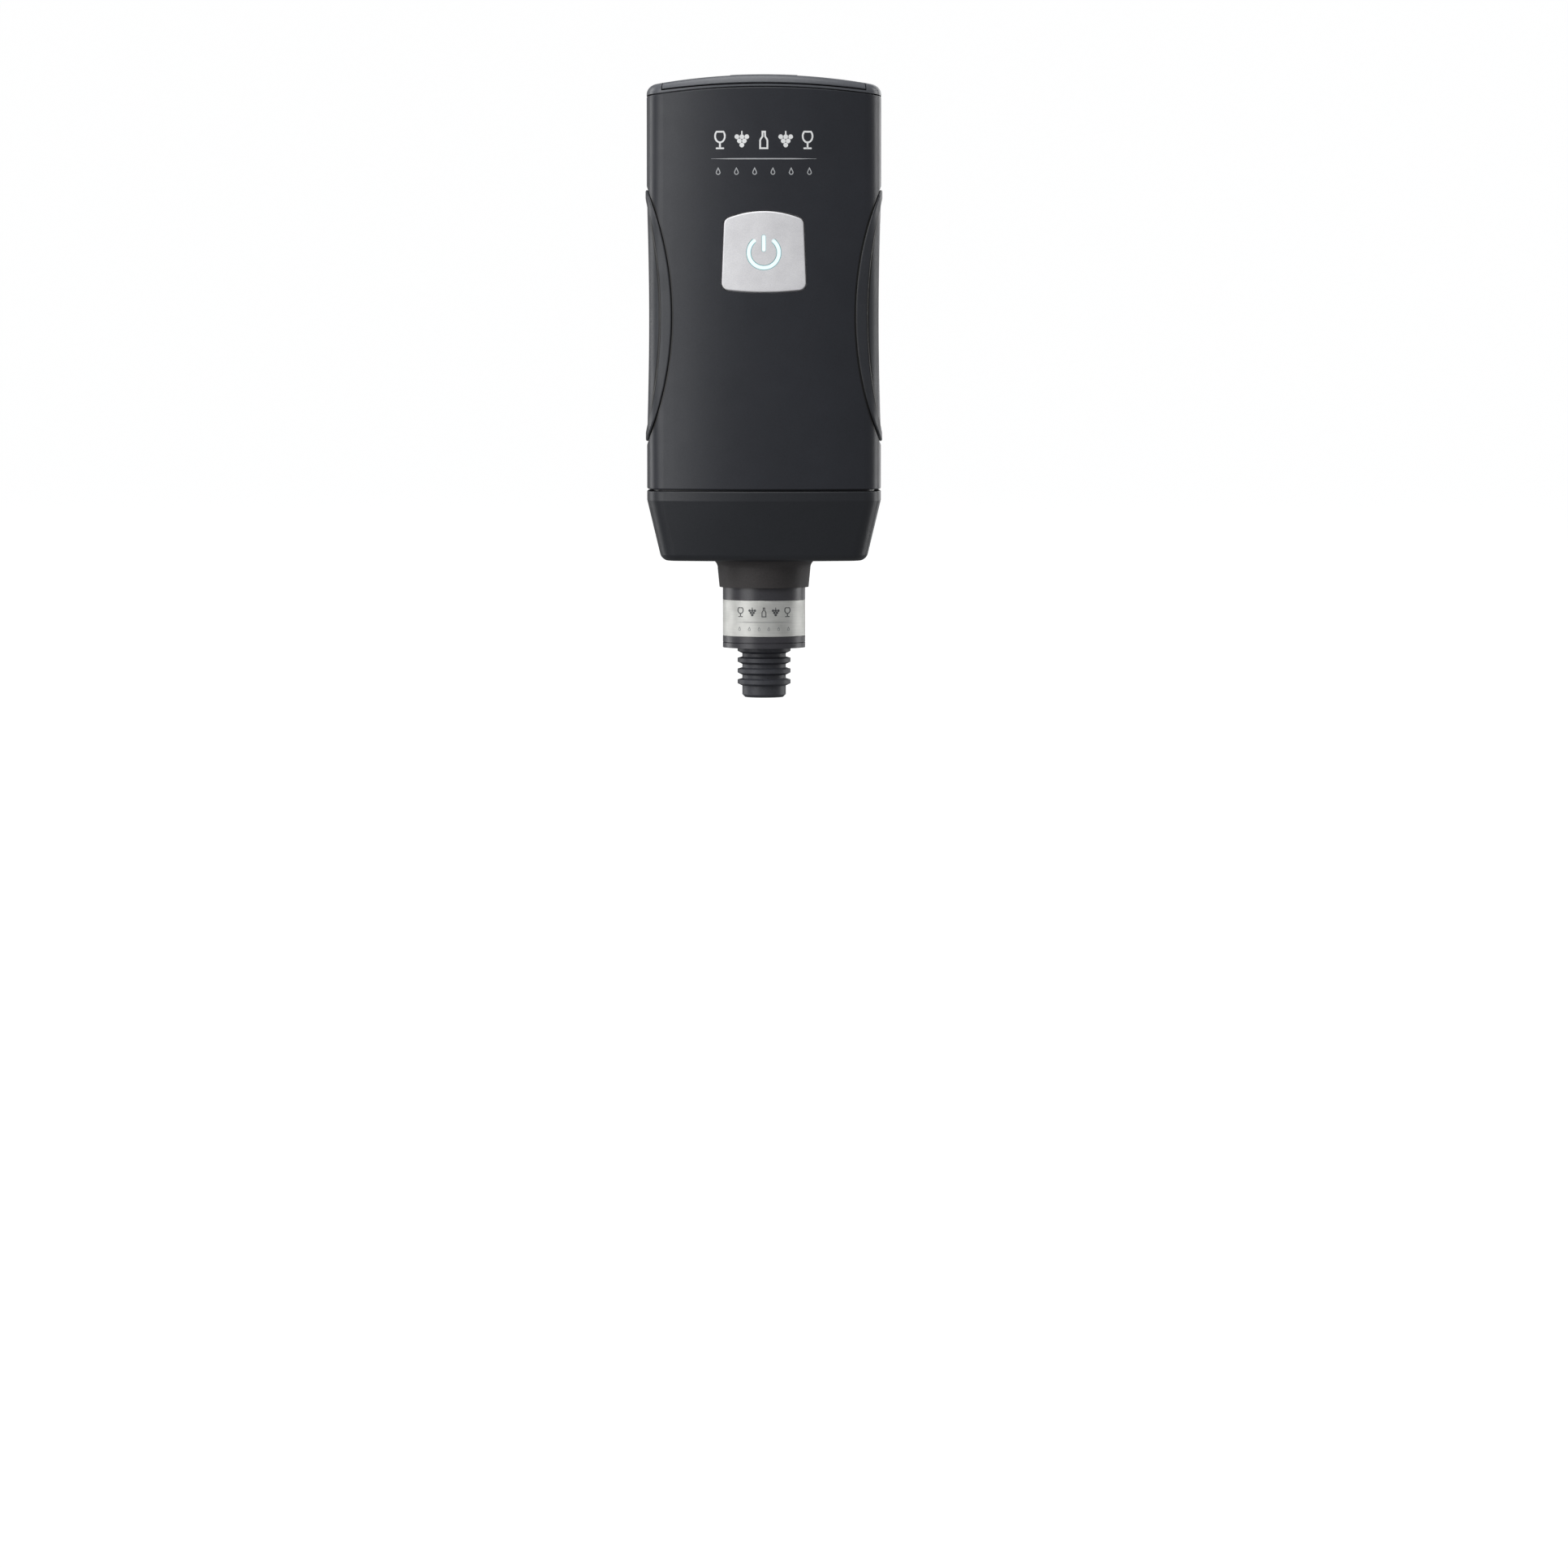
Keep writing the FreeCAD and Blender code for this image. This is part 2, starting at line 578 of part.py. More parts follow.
def symbol_bars(y0, y1):
    """The power mark: a ring open at the top, and an upright bar in the opening."""
    mid = SYMBOL_STROKE / 2
    band = rod_y(SYMBOL_R + mid, y0, y1, 0, SYMBOL_Z)
    band = band.cut(rod_y(SYMBOL_R - mid, y0 - 1, y1 + 1, 0, SYMBOL_Z))
    half_gap = math.radians(SYMBOL_OPENING)
    far = 20.0
    wedge_points = [
        Vector(0, y0 - 1, SYMBOL_Z),
        Vector(far * math.sin(half_gap), y0 - 1, SYMBOL_Z + far * math.cos(half_gap)),
        Vector(-far * math.sin(half_gap), y0 - 1, SYMBOL_Z + far * math.cos(half_gap)),
    ]
    wedge = Part.Face(Part.makePolygon(wedge_points + wedge_points[:1]))
    band = band.cut(wedge.extrude(Vector(0, y1 - y0 + 2, 0)))
    for side in (1, -1):
        x = side * SYMBOL_R * math.sin(half_gap)
        z = SYMBOL_Z + SYMBOL_R * math.cos(half_gap)
        band = band.fuse(rod_y(mid, y0, y1, x, z))
    slim = mid * 0.9
    bar = box(-slim, slim, y0, y1, SYMBOL_Z + SYMBOL_BAR_LOW, SYMBOL_Z + SYMBOL_BAR_HIGH)
    for z in (SYMBOL_Z + SYMBOL_BAR_LOW, SYMBOL_Z + SYMBOL_BAR_HIGH):
        bar = bar.fuse(rod_y(slim, y0, y1, 0, z))
    return band.removeSplitter(), bar.removeSplitter()


def button_nodes():
    skin = front_cylinder(-BUTTON_PROUD)
    cap = button_block(0, -30, -23.6).common(skin)
    cap = filleted(cap, 0.45, lambda e: on_cylinder(e, FACE_R + BUTTON_PROUD))
    # a flange behind the shell's wall keeps the button in
    flange = button_block(1.4, -25.3, -23.6).common(front_cylinder(WALL + 0.12))
    cap = cap.fuse(flange).removeSplitter()
    cap = cap.cut(rod_y(9.0, -25.4, -20, 0, SYMBOL_Z))
    ring_bar, bar = symbol_bars(-30, -25)
    cap = cap.cut(ring_bar).cut(bar)
    keep("power_button", cap)
    face = front_cylinder(-BUTTON_PROUD + 0.12)
    guide = rod_y(8.9, -25.4, -24.2, 0, SYMBOL_Z)
    stem = rod_y(1.8, -24.3, -22.7, 0, SYMBOL_Z)
    front_part = face.cut(rod_y(20, -25.4, -20, 0, SYMBOL_Z))
    keep("power_symbol", fuse([ring_bar.common(front_part), bar.common(front_part), guide, stem]))
    keep("switch_plunger", rod_y(1.7, -22.65, -21.0, 0, SYMBOL_Z))


def on_cylinder(edge, radius):
    """True if the edge's middle lies on the upright cylinder of this radius about the front face's axis."""
    p = edge.valueAt((edge.FirstParameter + edge.LastParameter) / 2)
    return abs(math.hypot(p.x, p.y - (FACE_R - HALF_DEPTH)) - radius) < 1e-3


# ---------------------------------------------------------------- electronics and cells

def cell_x(index):
    return (index - 1.5) * CELL_PITCH


def board_nodes():
    board = box(-BOARD_HALF, BOARD_HALF, BOARD_FRONT, BOARD_BACK, BOARD_LOW, BOARD_HIGH)
    board = filleted(board, 1.5, lambda e: e.BoundBox.YLength > 1.5)
    for x, z in BOARD_POSTS:
        for hole in both_sides(rod_y(1.1, -20, -16, x, z)):
            board = board.cut(hole)
    keep("circuit_board", board)
    body = box(-3.1, 3.1, -21.7, BOARD_FRONT, SYMBOL_Z - 3.1, SYMBOL_Z + 3.1)
    keep("tact_switch", body.cut(rod_y(1.8, -23, -20.4, 0, SYMBOL_Z)))
    lights = []
    for side in (1, -1):
        for z in (SYMBOL_Z - 4.6, SYMBOL_Z + 4.6):
            lights.append(box(side * 4.6 - 0.9, side * 4.6 + 0.9, -19.5, BOARD_FRONT, z - 0.6, z + 0.6))
    keep("status_leds", lights)
    chip = box(-4, 4, BOARD_BACK, BOARD_BACK + 1.4, 118, 126)
    legs = [box(x - 0.2, x + 0.2, BOARD_BACK, BOARD_BACK + 0.5, 116.8, 118) for x in (-3, -1, 1, 3)]
    legs += [box(x - 0.2, x + 0.2, BOARD_BACK, BOARD_BACK + 0.5, 126, 127.2) for x in (-3, -1, 1, 3)]
    capacitor = rod_y(2.5, BOARD_BACK, BOARD_BACK + 5.0, -12, 122)
    transistor = box(9, 15, BOARD_BACK, BOARD_BACK + 2.2, 117, 123)
    coil = box(-16, -9, BOARD_BACK, BOARD_BACK + 3.0, 148, 155)
    keep("board_components", [fuse([chip] + legs), capacitor, transistor, coil])


def cell_nodes():
    tray = box(-TRAY_HALF_X, TRAY_HALF_X, CELL_Y - TRAY_HALF_Y, CELL_Y + TRAY_HALF_Y, TRAY_LOW, TRAY_HIGH)
    tray = filleted(tray, 2.0, lambda e: e.BoundBox.ZLength > 40)
    for index in range(4):
        tray = tray.cut(disc(CELL_R + 0.4, TRAY_FLOOR, 200, cell_x(index), CELL_Y))
        tray = tray.cut(box(cell_x(index) - 1, cell_x(index) + 1, CELL_Y - 4.5, CELL_Y - 3.9, 140, 145))
    keep("battery_tray", tray)
    springs = []
    contacts = []
    for index in range(4):
        x = cell_x(index)
        nub_up = index % 2 == 0
        plate = disc(4.8, TRAY_FLOOR, TRAY_FLOOR + 0.3, x, CELL_Y)
        tab = box(x - 0.9, x + 0.9, CELL_Y - 4.4, CELL_Y - 4.0, TRAY_LOW - 2.5, TRAY_FLOOR + 0.3)
        if nub_up:
            springs.append(coil_spring(x, CELL_Y, TRAY_FLOOR + 0.6, CELL_LOW - 0.35))
        else:
            plate = plate.fuse(disc(1.8, TRAY_FLOOR, CELL_LOW - 0.05, x, CELL_Y))
        contacts.append(plate.fuse(tab).removeSplitter())
        keep("battery_cell_%d" % (index + 1), battery(x, nub_up))
    keep("battery_contacts", contacts)
    keep("battery_springs", springs)


def battery(x, nub_up):
    """An AA cell: a can with rounded rims and a contact nub at one end."""
    nub = 1.5
    low = CELL_LOW if nub_up else CELL_LOW + nub
    can = disc(CELL_R, low, low + CELL_LENGTH - nub, x, CELL_Y)
    can = filleted(can, 0.6, lambda e: e.BoundBox.ZLength < 0.01)
    if nub_up:
        return can.fuse(disc(2.6, low + CELL_LENGTH - nub, low + CELL_LENGTH, x, CELL_Y))
    return can.fuse(disc(2.6, CELL_LOW, low, x, CELL_Y))


def coil_spring(x, y, z0, z1):
    """A squat spring of round wire, whose centre line climbs from z0 to z1."""
    steps = SPRING_TURNS * 12
    points = []
    for step in range(int(steps) + 1):
        angle = math.radians(30 * step)
        height = (z1 - z0) * step / steps
        points.append(Vector(SPRING_R * math.cos(angle), SPRING_R * math.sin(angle), height))
    line = Part.BSplineCurve()
    line.interpolate(points)
    start = Part.Circle(points[0], line.tangent(line.FirstParameter)[0], SPRING_WIRE_R)
    spring = Part.Wire([line.toShape()]).makePipeShell([Part.Wire([start.toShape()])], True, True)
    spring.translate(Vector(x, y, z0))
    return spring


# ---------------------------------------------------------------- motor

def motor_nodes():
    can = ring(MOTOR_R, MOTOR_R - 0.7, MOTOR_LOW, MOTOR_HIGH)
    can = fuse([can, disc(MOTOR_R, MOTOR_LOW, MOTOR_LOW + 1.0), disc(3.2, MOTOR_LOW - 1.5, MOTOR_LOW + 1.0)])
    can = filleted(can, 0.5, lambda e: e.BoundBox.ZMax < MOTOR_LOW + 0.01 and e.BoundBox.XLength > 20)
    keep("motor_can", can.cut(disc(2.5, 80, 100)))
    end = disc(MOTOR_R - 0.75, MOTOR_HIGH - 1.5, MOTOR_HIGH + 1.0)
    end = end.fuse(disc(3.5, MOTOR_HIGH, MOTOR_HIGH + 2.5))
    low_bush = ring(2.5, SHAFT_R + SHAFT_RUNNING, MOTOR_LOW - 1.5, MOTOR_LOW + 1.5)
    high_bush = ring(2.5, SHAFT_R + SHAFT_RUNNING, MOTOR_HIGH - 1.2, MOTOR_HIGH + 1.9)
    keep("motor_bushings", [low_bush, high_bush])
    magnets = []
    for side in (1, -1):
        half = ring(MOTOR_R - 0.75, 8.6, MOTOR_LOW + 5, MOTOR_HIGH - 6)
        half = half.common(box(2.5, 20, -20, 20, 0, 200))
        magnets.append(half if side > 0 else mirrored(half))
    keep("motor_magnets", magnets)
    # each terminal passes through the end cap and carries one brush
    tab = box(LEAD_X - 0.2, LEAD_X + 0.2, -1.2, 1.2, 118.8, MOTOR_HIGH + 5)
    brush = box(3.05, LEAD_X, -0.9, 0.9, 118.6, 121.0)
    brushes = both_sides(tab.fuse(brush).removeSplitter())
    for one in brushes:
        end = end.cut(one)
    end = end.cut(disc(2.5, MOTOR_HIGH - 3, MOTOR_HIGH + 2.0)).removeSplitter()
    keep("motor_end_cap", end)
    keep("motor_brushes", brushes)
    keep("motor_sleeve", ring(MOTOR_R + 0.9, MOTOR_R + 0.03, 101, 118))


def rotor_nodes():
    keep("motor_shaft", disc(SHAFT_R, 88.6, MOTOR_HIGH + 1.4))
    core = ring(8.0, SHAFT_R, 100, 115)
    for angle in CUP_ANGLES:
        slot = box(3.6, 9, -0.9, 0.9, 99, 116).fuse(disc(1.9, 99, 116, 5.2, 0))
        core = core.cut(turned(slot, angle + 60))
    keep("rotor_core", core)
    coils = []
    for angle in CUP_ANGLES:
        coil = ring(6.6, 2.2, 115.05, 116.6).common(box(0.4, 9, -3.4, 3.4, 100, 120))
        coils.append(turned(coil, angle))
    keep("rotor_windings", coils)
    keep("commutator", ring(3.0, SHAFT_R, 117.4, 122.0))
    pin_way = crank_axis()
    weight = disc(5.4, 85.6, 91.6)
    weight = filleted(weight, 0.4, lambda e: e.BoundBox.ZLength < 0.01)
    weight = weight.cut(disc(SHAFT_R, 88.6, 93))
    socket = Part.makeCylinder(0.75, 9.0, Vector(0, 0, WOBBLE_Z), pin_way)
    weight = weight.cut(socket.common(box(-9, 9, -9, 9, 80, 88.0)))
    keep("eccentric", weight)
    pin = Part.makeCylinder(0.75, 9.0, Vector(0, 0, WOBBLE_Z), pin_way)
    keep("crank_pin", pin.common(box(-9, 9, -9, 9, 70, 87.95)))


def crank_axis():
    tilt = math.radians(WOBBLE_TILT)
    return Vector(math.sin(tilt), 0, math.cos(tilt))


# ---------------------------------------------------------------- pump head

def head_screws_cut(shape, radius):
    for angle in SCREW_ANGLES:
        hole = disc(radius, 50, 100, HEAD_SCREW_R, 0)
        shape = shape.cut(turned(hole, angle))
    return shape


def tilted(shape):
    """Lean a shape with the crank pin, about the wobble plate's centre."""
    return shape.rotated(Vector(0, 0, WOBBLE_Z), Y_AXIS, WOBBLE_TILT)


def pump_nodes():
    house = ring(HEAD_R, 12.5, MEMBRANE_HIGH, MOTOR_LOW)
    roof = ring(HEAD_R, 3.3, MOTOR_LOW - 2.0, MOTOR_LOW)
    house = house.fuse(roof).removeSplitter()
    window = box(-20, 20, -4, 4, 84, 90).cut(disc(11, 80, 95))
    keep("pump_housing", head_screws_cut(house, 1.0).cut(window))

    plate = disc(3.4, WOBBLE_Z - 1.2, WOBBLE_Z + 3.4)
    for angle in CUP_ANGLES:
        arm = box(0, CUP_RADIUS, -1.6, 1.6, WOBBLE_Z - 1.0, WOBBLE_Z + 1.0)
        arm = arm.fuse(disc(2.7, WOBBLE_Z - 1.0, WOBBLE_Z + 1.0, CUP_RADIUS, 0))
        plate = plate.fuse(turned(arm, angle))
    plate = plate.cut(disc(0.75 + SHAFT_RUNNING, WOBBLE_Z - 0.1, WOBBLE_Z + 9))
    keep("wobble_plate", tilted(plate.removeSplitter()))

    sheet = head_screws_cut(disc(HEAD_R, MEMBRANE_LOW, MEMBRANE_HIGH), 1.0)
    under_plate = tilted(box(-14, 14, -14, 14, 60, WOBBLE_Z - 1.06))
    cup = Part.makeCone(4.3, 2.2, 6.0, Vector(CUP_RADIUS, 0, MEMBRANE_HIGH - 0.2), Z_AXIS)
    hollow = Part.makeCone(3.4, 1.4, 2.4, Vector(CUP_RADIUS, 0, MEMBRANE_LOW - 0.01), Z_AXIS)
    membrane = fuse([sheet] + [turned(cup, angle).common(under_plate) for angle in CUP_ANGLES])
    for angle in CUP_ANGLES:
        membrane = membrane.cut(turned(hollow, angle))
    keep("diaphragm", membrane)

    plate = head_screws_cut(disc(HEAD_R, PORT_LOW, MEMBRANE_LOW), 1.0)
    flaps = []
    for angle in CUP_ANGLES:
        for reach, turn in ((CUP_RADIUS, 0), (CUP_RADIUS, 14), (CUP_RADIUS, -14)):
            plate = plate.cut(turned(disc(0.5, 70, 76, reach, 0), angle + turn))
        seat = turned(disc(2.6, MEMBRANE_LOW - 0.5, MEMBRANE_LOW + 1, CUP_RADIUS, 0), angle)
        plate = plate.cut(seat)
        flap = ring(2.5, 0.3, MEMBRANE_LOW - 0.5, MEMBRANE_LOW - 0.1, CUP_RADIUS, 0)
        flaps.append(turned(flap, angle))
    keep("valve_plate", plate)
    keep("valve_flaps", flaps)

    cover = filleted(disc(HEAD_R, COVER_LOW, PORT_LOW), 0.3, lambda e: e.BoundBox.ZMax < COVER_LOW + 0.1)
    cover = head_screws_cut(cover, 1.0)
    chamber = disc(11.5, COVER_LOW + 2.0, PORT_LOW + 1)
    wall_ring = ring(7.0, 6.0, COVER_LOW + 1.5, PORT_LOW)
    cover = cover.cut(chamber).fuse(wall_ring)
    inlet = disc(1.5, 58.2, COVER_LOW + 0.5, INLET_X, 0)
    foot = Part.makeCone(2.2, 3.2, 1.4, Vector(INLET_X, 0, COVER_LOW - 1.2), Z_AXIS)
    outlet = rod_y(1.8, 12, 19.5, 0, 67.6)
    cover = fuse([cover, inlet, foot, outlet])
    cover = cover.cut(disc(0.8, 50, COVER_LOW + 3, INLET_X, 0)).cut(rod_y(1.0, 9, 30, 0, 67.6))
    keep("pump_cover", cover)

    screws = []
    for angle in SCREW_ANGLES:
        one = screw((HEAD_SCREW_R, 0, COVER_LOW), (0, 0, 1), 1.35, 1.2, 0.9, 24.0, 0.35)
        screws.append(turned(one, angle))
    keep("pump_screws", screws)


def mount_nodes():
    """A saddle behind the motor and a strap round its front."""
    cradle = box(-17.9, 17.9, CRADLE_FRONT, CRADLE_BACK, 103, 116)
    cradle = cradle.cut(disc(MOTOR_R + 0.95, 90, 130))
    cradle = filleted(cradle, 1.0, lambda e: e.BoundBox.ZLength > 10 and e.BoundBox.YMin > 15)
    strap = ring(MOTOR_R + 2.0, MOTOR_R + 0.95, 105.5, 115.5)
    strap = strap.common(box(-30, 30, -30, CRADLE_FRONT - 0.05, 100, 120))
    ear = box(13.3, 17.6, STRAP_Y, CRADLE_FRONT - 0.05, 105.5, 115.5)
    strap = fuse([strap] + both_sides(ear))
    for side in (1, -1):
        cradle = cradle.cut(rod_y(1.0, 0, 20, side * CRADLE_X, CRADLE_Z))
        cradle = cradle.cut(rod_y(2.2, 0, CRADLE_SCREW_Y, side * CRADLE_X, CRADLE_Z))
        cradle = cradle.cut(rod_y(0.65, 1, 6, side * STRAP_X, STRAP_SCREW_Z))
        strap = strap.cut(rod_y(0.8, -5, 5, side * STRAP_X, STRAP_SCREW_Z))
        strap = strap.cut(rod_y(2.3, -5, 5, side * CRADLE_X, CRADLE_Z))
    keep("motor_cradle", cradle)
    keep("motor_strap", strap)


# ---------------------------------------------------------------- nozzle, hose and wires

def nozzle_nodes():
    flange_under = BASE_BOTTOM + BASE_FLOOR
    rubber = revolved([
        (NOZZLE_BORE_R, NOZZLE_LOW),
        (16.1, NOZZLE_LOW),
        (16.75, 28.5, (17.25, 30.35)),
        (18.7, BASE_BOTTOM),
        (13.6, BASE_BOTTOM),
        (13.6, flange_under),
        (16.4, flange_under),
        (16.4, NOZZLE_TOP),
        (7.25, NOZZLE_TOP),
        (7.25, NOZZLE_CEILING),
        (8.5, NOZZLE_CEILING),
        (8.5, NOZZLE_CEILING + 0.9),
        (12.5, NOZZLE_CEILING + 0.9),
        (12.5, NOZZLE_CEILING),
        (NOZZLE_BORE_R, NOZZLE_CEILING),
    ])
    keep("nozzle", rubber)
    seal = ring(12.4, 8.6, CAP_HIGH + 0.1, NOZZLE_CEILING + 0.85)
    keep("nozzle_seal", filleted(seal, 0.4, lambda e: e.BoundBox.ZMax < CAP_HIGH + 0.2))
    plate = disc(16.8, NOZZLE_TOP, NOZZLE_TOP + 2.0)
    for ear in both_sides(disc(3.4, NOZZLE_TOP, NOZZLE_TOP + 2.0, CLAMP_X, 0)):
        plate = plate.fuse(ear)
    insert = fuse([
        plate,
        disc(7.2, NOZZLE_CEILING + 0.7, NOZZLE_TOP + 0.5),
        disc(2.6, NOZZLE_TOP, NOZZLE_TOP + 3.8),
        disc(1.5, NOZZLE_TOP, 45.6),
    ])
    insert = insert.cut(disc(5.4, 29, 33.5)).cut(disc(0.8, 30, 50))
    for hole in both_sides(disc(1.2, 30, 40, CLAMP_X, 0)):
        insert = insert.cut(hole)
    keep("nozzle_insert", insert)


def report_tube(name, solid, section, length):
    print("%s: length %.1f mm, volume %.1f of %.1f mm3" % (name, length, solid.Volume, section * length))


def line_nodes():
    # the suction hose slides over both spigots
    low, high = 40.6, 63.0 - 0.3
    route = [(0, 0, low), (0, 0, 46.2), (INLET_X, 0, 57.2), (INLET_X, 0, high)]
    turn = math.atan2(INLET_X, 57.2 - 46.2)
    bend = 0.45 * (high - 57.2) / math.tan(turn / 2)
    outer, length = tube_along(route, HOSE_R, bend)
    inner, _ = tube_along(route, HOSE_BORE_R, bend)
    hose = outer.cut(inner)
    report_tube("suction_hose", hose, math.pi * (HOSE_R**2 - HOSE_BORE_R**2), length)
    print("suction_hose bend radius %.1f mm" % bend)
    keep("suction_hose", hose)

    leads = []
    for side in (1, -1):
        x = side * LEAD_X
        route = [(x, 0, MOTOR_HIGH + 5.0), (x, 0, MOTOR_LEAD_Z), (x, BOARD_BACK, MOTOR_LEAD_Z)]
        lead, length = tube_along(route, LEAD_R, 5.0)
        report_tube("motor lead", lead, math.pi * LEAD_R**2, length)
        leads.append(lead)
    keep("motor_wires", leads)
    leads = []
    for side in (1, -1):
        x = side * cell_x(3)
        y = CELL_Y - 4.2
        route = [
            (x, y, TRAY_LOW - 2.5),
            (x, y, CELL_LEAD_Z),
            (side * CELL_LEAD_X, -10.5, CELL_LEAD_Z),
            (side * CELL_LEAD_X, BOARD_BACK, CELL_LEAD_Z),
        ]
        lead, length = tube_along(route, LEAD_R, 2.9)
        report_tube("cell lead", lead, math.pi * LEAD_R**2, length)
        leads.append(lead)
    keep("battery_wires", leads)


def fastener_nodes():
    """Three sizes of screw: through the casing, through the motor's cradle, and small ones for the rest."""
    case = [((x, SHELL_SCREW_Y, z), (0, -1, 0)) for x, z in BOSS_PLACES]
    case.append(((BASE_SCREW_X, BASE_SCREW_Y, BASE_WELL_TOP), (0, 0, 1)))
    cradle = [((CRADLE_X, CRADLE_SCREW_Y, CRADLE_Z), (0, 1, 0))]
    small = [((x, BOARD_BACK, z), (0, -1, 0)) for x, z in BOARD_POSTS]
    small.append(((CLAMP_X, 0, NOZZLE_TOP + 2.0), (0, 0, -1)))
    small.append(((STRAP_X, STRAP_Y, STRAP_SCREW_Z), (0, 1, 0)))
    sizes = {
        "case_screws": (case, 2.7, 1.8, 1.05, 13.2, 0.5),
        "cradle_screws": (cradle, 2.0, 1.3, 0.85, 9.0, 0.45),
        "small_screws": (small, 1.6, 1.1, 0.65, 4.4, 0.35),
    }
    for name, (places, head_r, head_h, shank_r, length, slot) in sizes.items():
        screws = []
        for (x, y, z), along in places:
            for side in (1, -1):
                screws.append(screw((side * x, y, z), along, head_r, head_h, shank_r, length, slot))
        keep(name, screws)


# ---------------------------------------------------------------- stopper

def stopper_nodes():
    skirt_r = STOPPER_R - 0.55
    cap = revolved([
        (AIRWAY_R + 0.2, RING_HIGH + 0.05),
        (skirt_r, RING_HIGH + 0.05),
        (skirt_r, BAND_HIGH + 0.05),
        (STOPPER_R, BAND_HIGH + 0.05),
        (STOPPER_R, CAP_HIGH),
        (9.0, CAP_HIGH),
        (8.0, VALVE_FLOOR),
        (2.0, VALVE_FLOOR),
        (2.0, 17.0),
        (AIRWAY_R + 0.2, 17.0),
    ])
    cap = filleted(cap, 0.5, lambda e: e.BoundBox.ZMin > CAP_HIGH - 0.1)
    keep("stopper_cap", cap)
    band = ring(STOPPER_R, skirt_r + 0.03, RING_HIGH + 0.05, BAND_HIGH)
    keep("stopper_band", filleted(band, 0.15, lambda e: e.BoundBox.XLength > 2 * STOPPER_R - 0.1
                                  and e.BoundBox.ZLength < 0.01))
    line_z = 1.9
    # the lip bears outside a shallow recess, which leaves room for the plug's top rib to bulge
    base = revolved([
        (AIRWAY_R + 4.0, LIP_SEAT_DEEP),
        (LIP_SEAT_R, LIP_SEAT_DEEP),
        (LIP_SEAT_R, 0),
        (STOPPER_R, 0),
        (STOPPER_R, line_z - 0.12),
        (STOPPER_R - 0.3, line_z),
        (STOPPER_R, line_z + 0.12),
        (STOPPER_R, RING_HIGH),
        (AIRWAY_R + 2.0, RING_HIGH),
        (AIRWAY_R + 2.0, 2.2),
        (AIRWAY_R + 4.0, 2.2),
    ])
    keep("stopper_base_ring", base)
    keep("stopper_plug", plug())
    knob = revolved([
        (0, 12.0),
        (1.9, 12.0),
        (2.6, 12.8),
        (2.6, 15.3),
        (1.5, 15.3),
        (1.5, VALVE_FLOOR + 0.05),
        (4.6, VALVE_FLOOR + 0.05),
        (4.6, 20.6),
        (2.0, 21.4),
        (2.2, 26.2),
        (1.6, 26.8),
        (0, 26.8),
    ])
    keep("stopper_valve", knob)


def plug():
    """The silicone plug: four sealing ribs under the collar, then a smooth thin end."""
    profile = [
        (AIRWAY_R, 4.0),
        (AIRWAY_R + 1.9, 4.0),
        (AIRWAY_R + 1.9, 2.1),
        (AIRWAY_R + 3.9, 2.1),
        (AIRWAY_R + 3.9, LIP_SEAT_DEEP),
        (RIB_R, LIP_SEAT_DEEP),
    ]
    z = 0.0
    for _ in range(4):
        profile.append((RIB_R, z - 2 * RIB_HALF))
        profile.append((PLUG_R, z - 2 * RIB_HALF - 0.8))
        z -= RIB_PITCH
        profile.append((PLUG_R, z + 0.5))
        profile.append((RIB_R, z))
    del profile[-2:]
    profile += [(PLUG_R, -PLUG_LENGTH + 1.0), (PLUG_R - 1.0, -PLUG_LENGTH), (AIRWAY_R, -PLUG_LENGTH)]
    return revolved(profile)


def main():
    front, rear = casing()
    keep("front_shell", front_shell(front))
    keep("rear_shell", rear_shell(rear))
    keep("base_cap", base_cap())
    crown_nodes()
    grip_nodes()
    button_nodes()
    board_nodes()
    cell_nodes()
    motor_nodes()
    rotor_nodes()
    pump_nodes()
    mount_nodes()
    nozzle_nodes()
    line_nodes()
    fastener_nodes()
    stopper_nodes()
    os.makedirs("parts", exist_ok=True)
    for name, shape in sorted(nodes.items()):
        sound = shape.isValid() and all(s.isClosed() for s in shape.Shells)
        if not sound or not shape.Solids:
            print("NOT SOUND:", name, len(shape.Solids))
        shape.exportStep("parts/%s.step" % name)
    print(len(nodes), "nodes")


main()
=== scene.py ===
# %% [markdown]
# # A hand-held vacuum pump for wine bottles
# This lesson dresses a finished CAD assembly in Blender. The pump stands on its stopper: a dark moulded
# casing with two side grips and a silver power button, a tapering base, a rubber nozzle, and under it a
# stopper with a steel band. The CAD parts keep their shape and place. What we add is light, real
# materials, and the small printed and moulded details that a CAD model leaves out.

import math

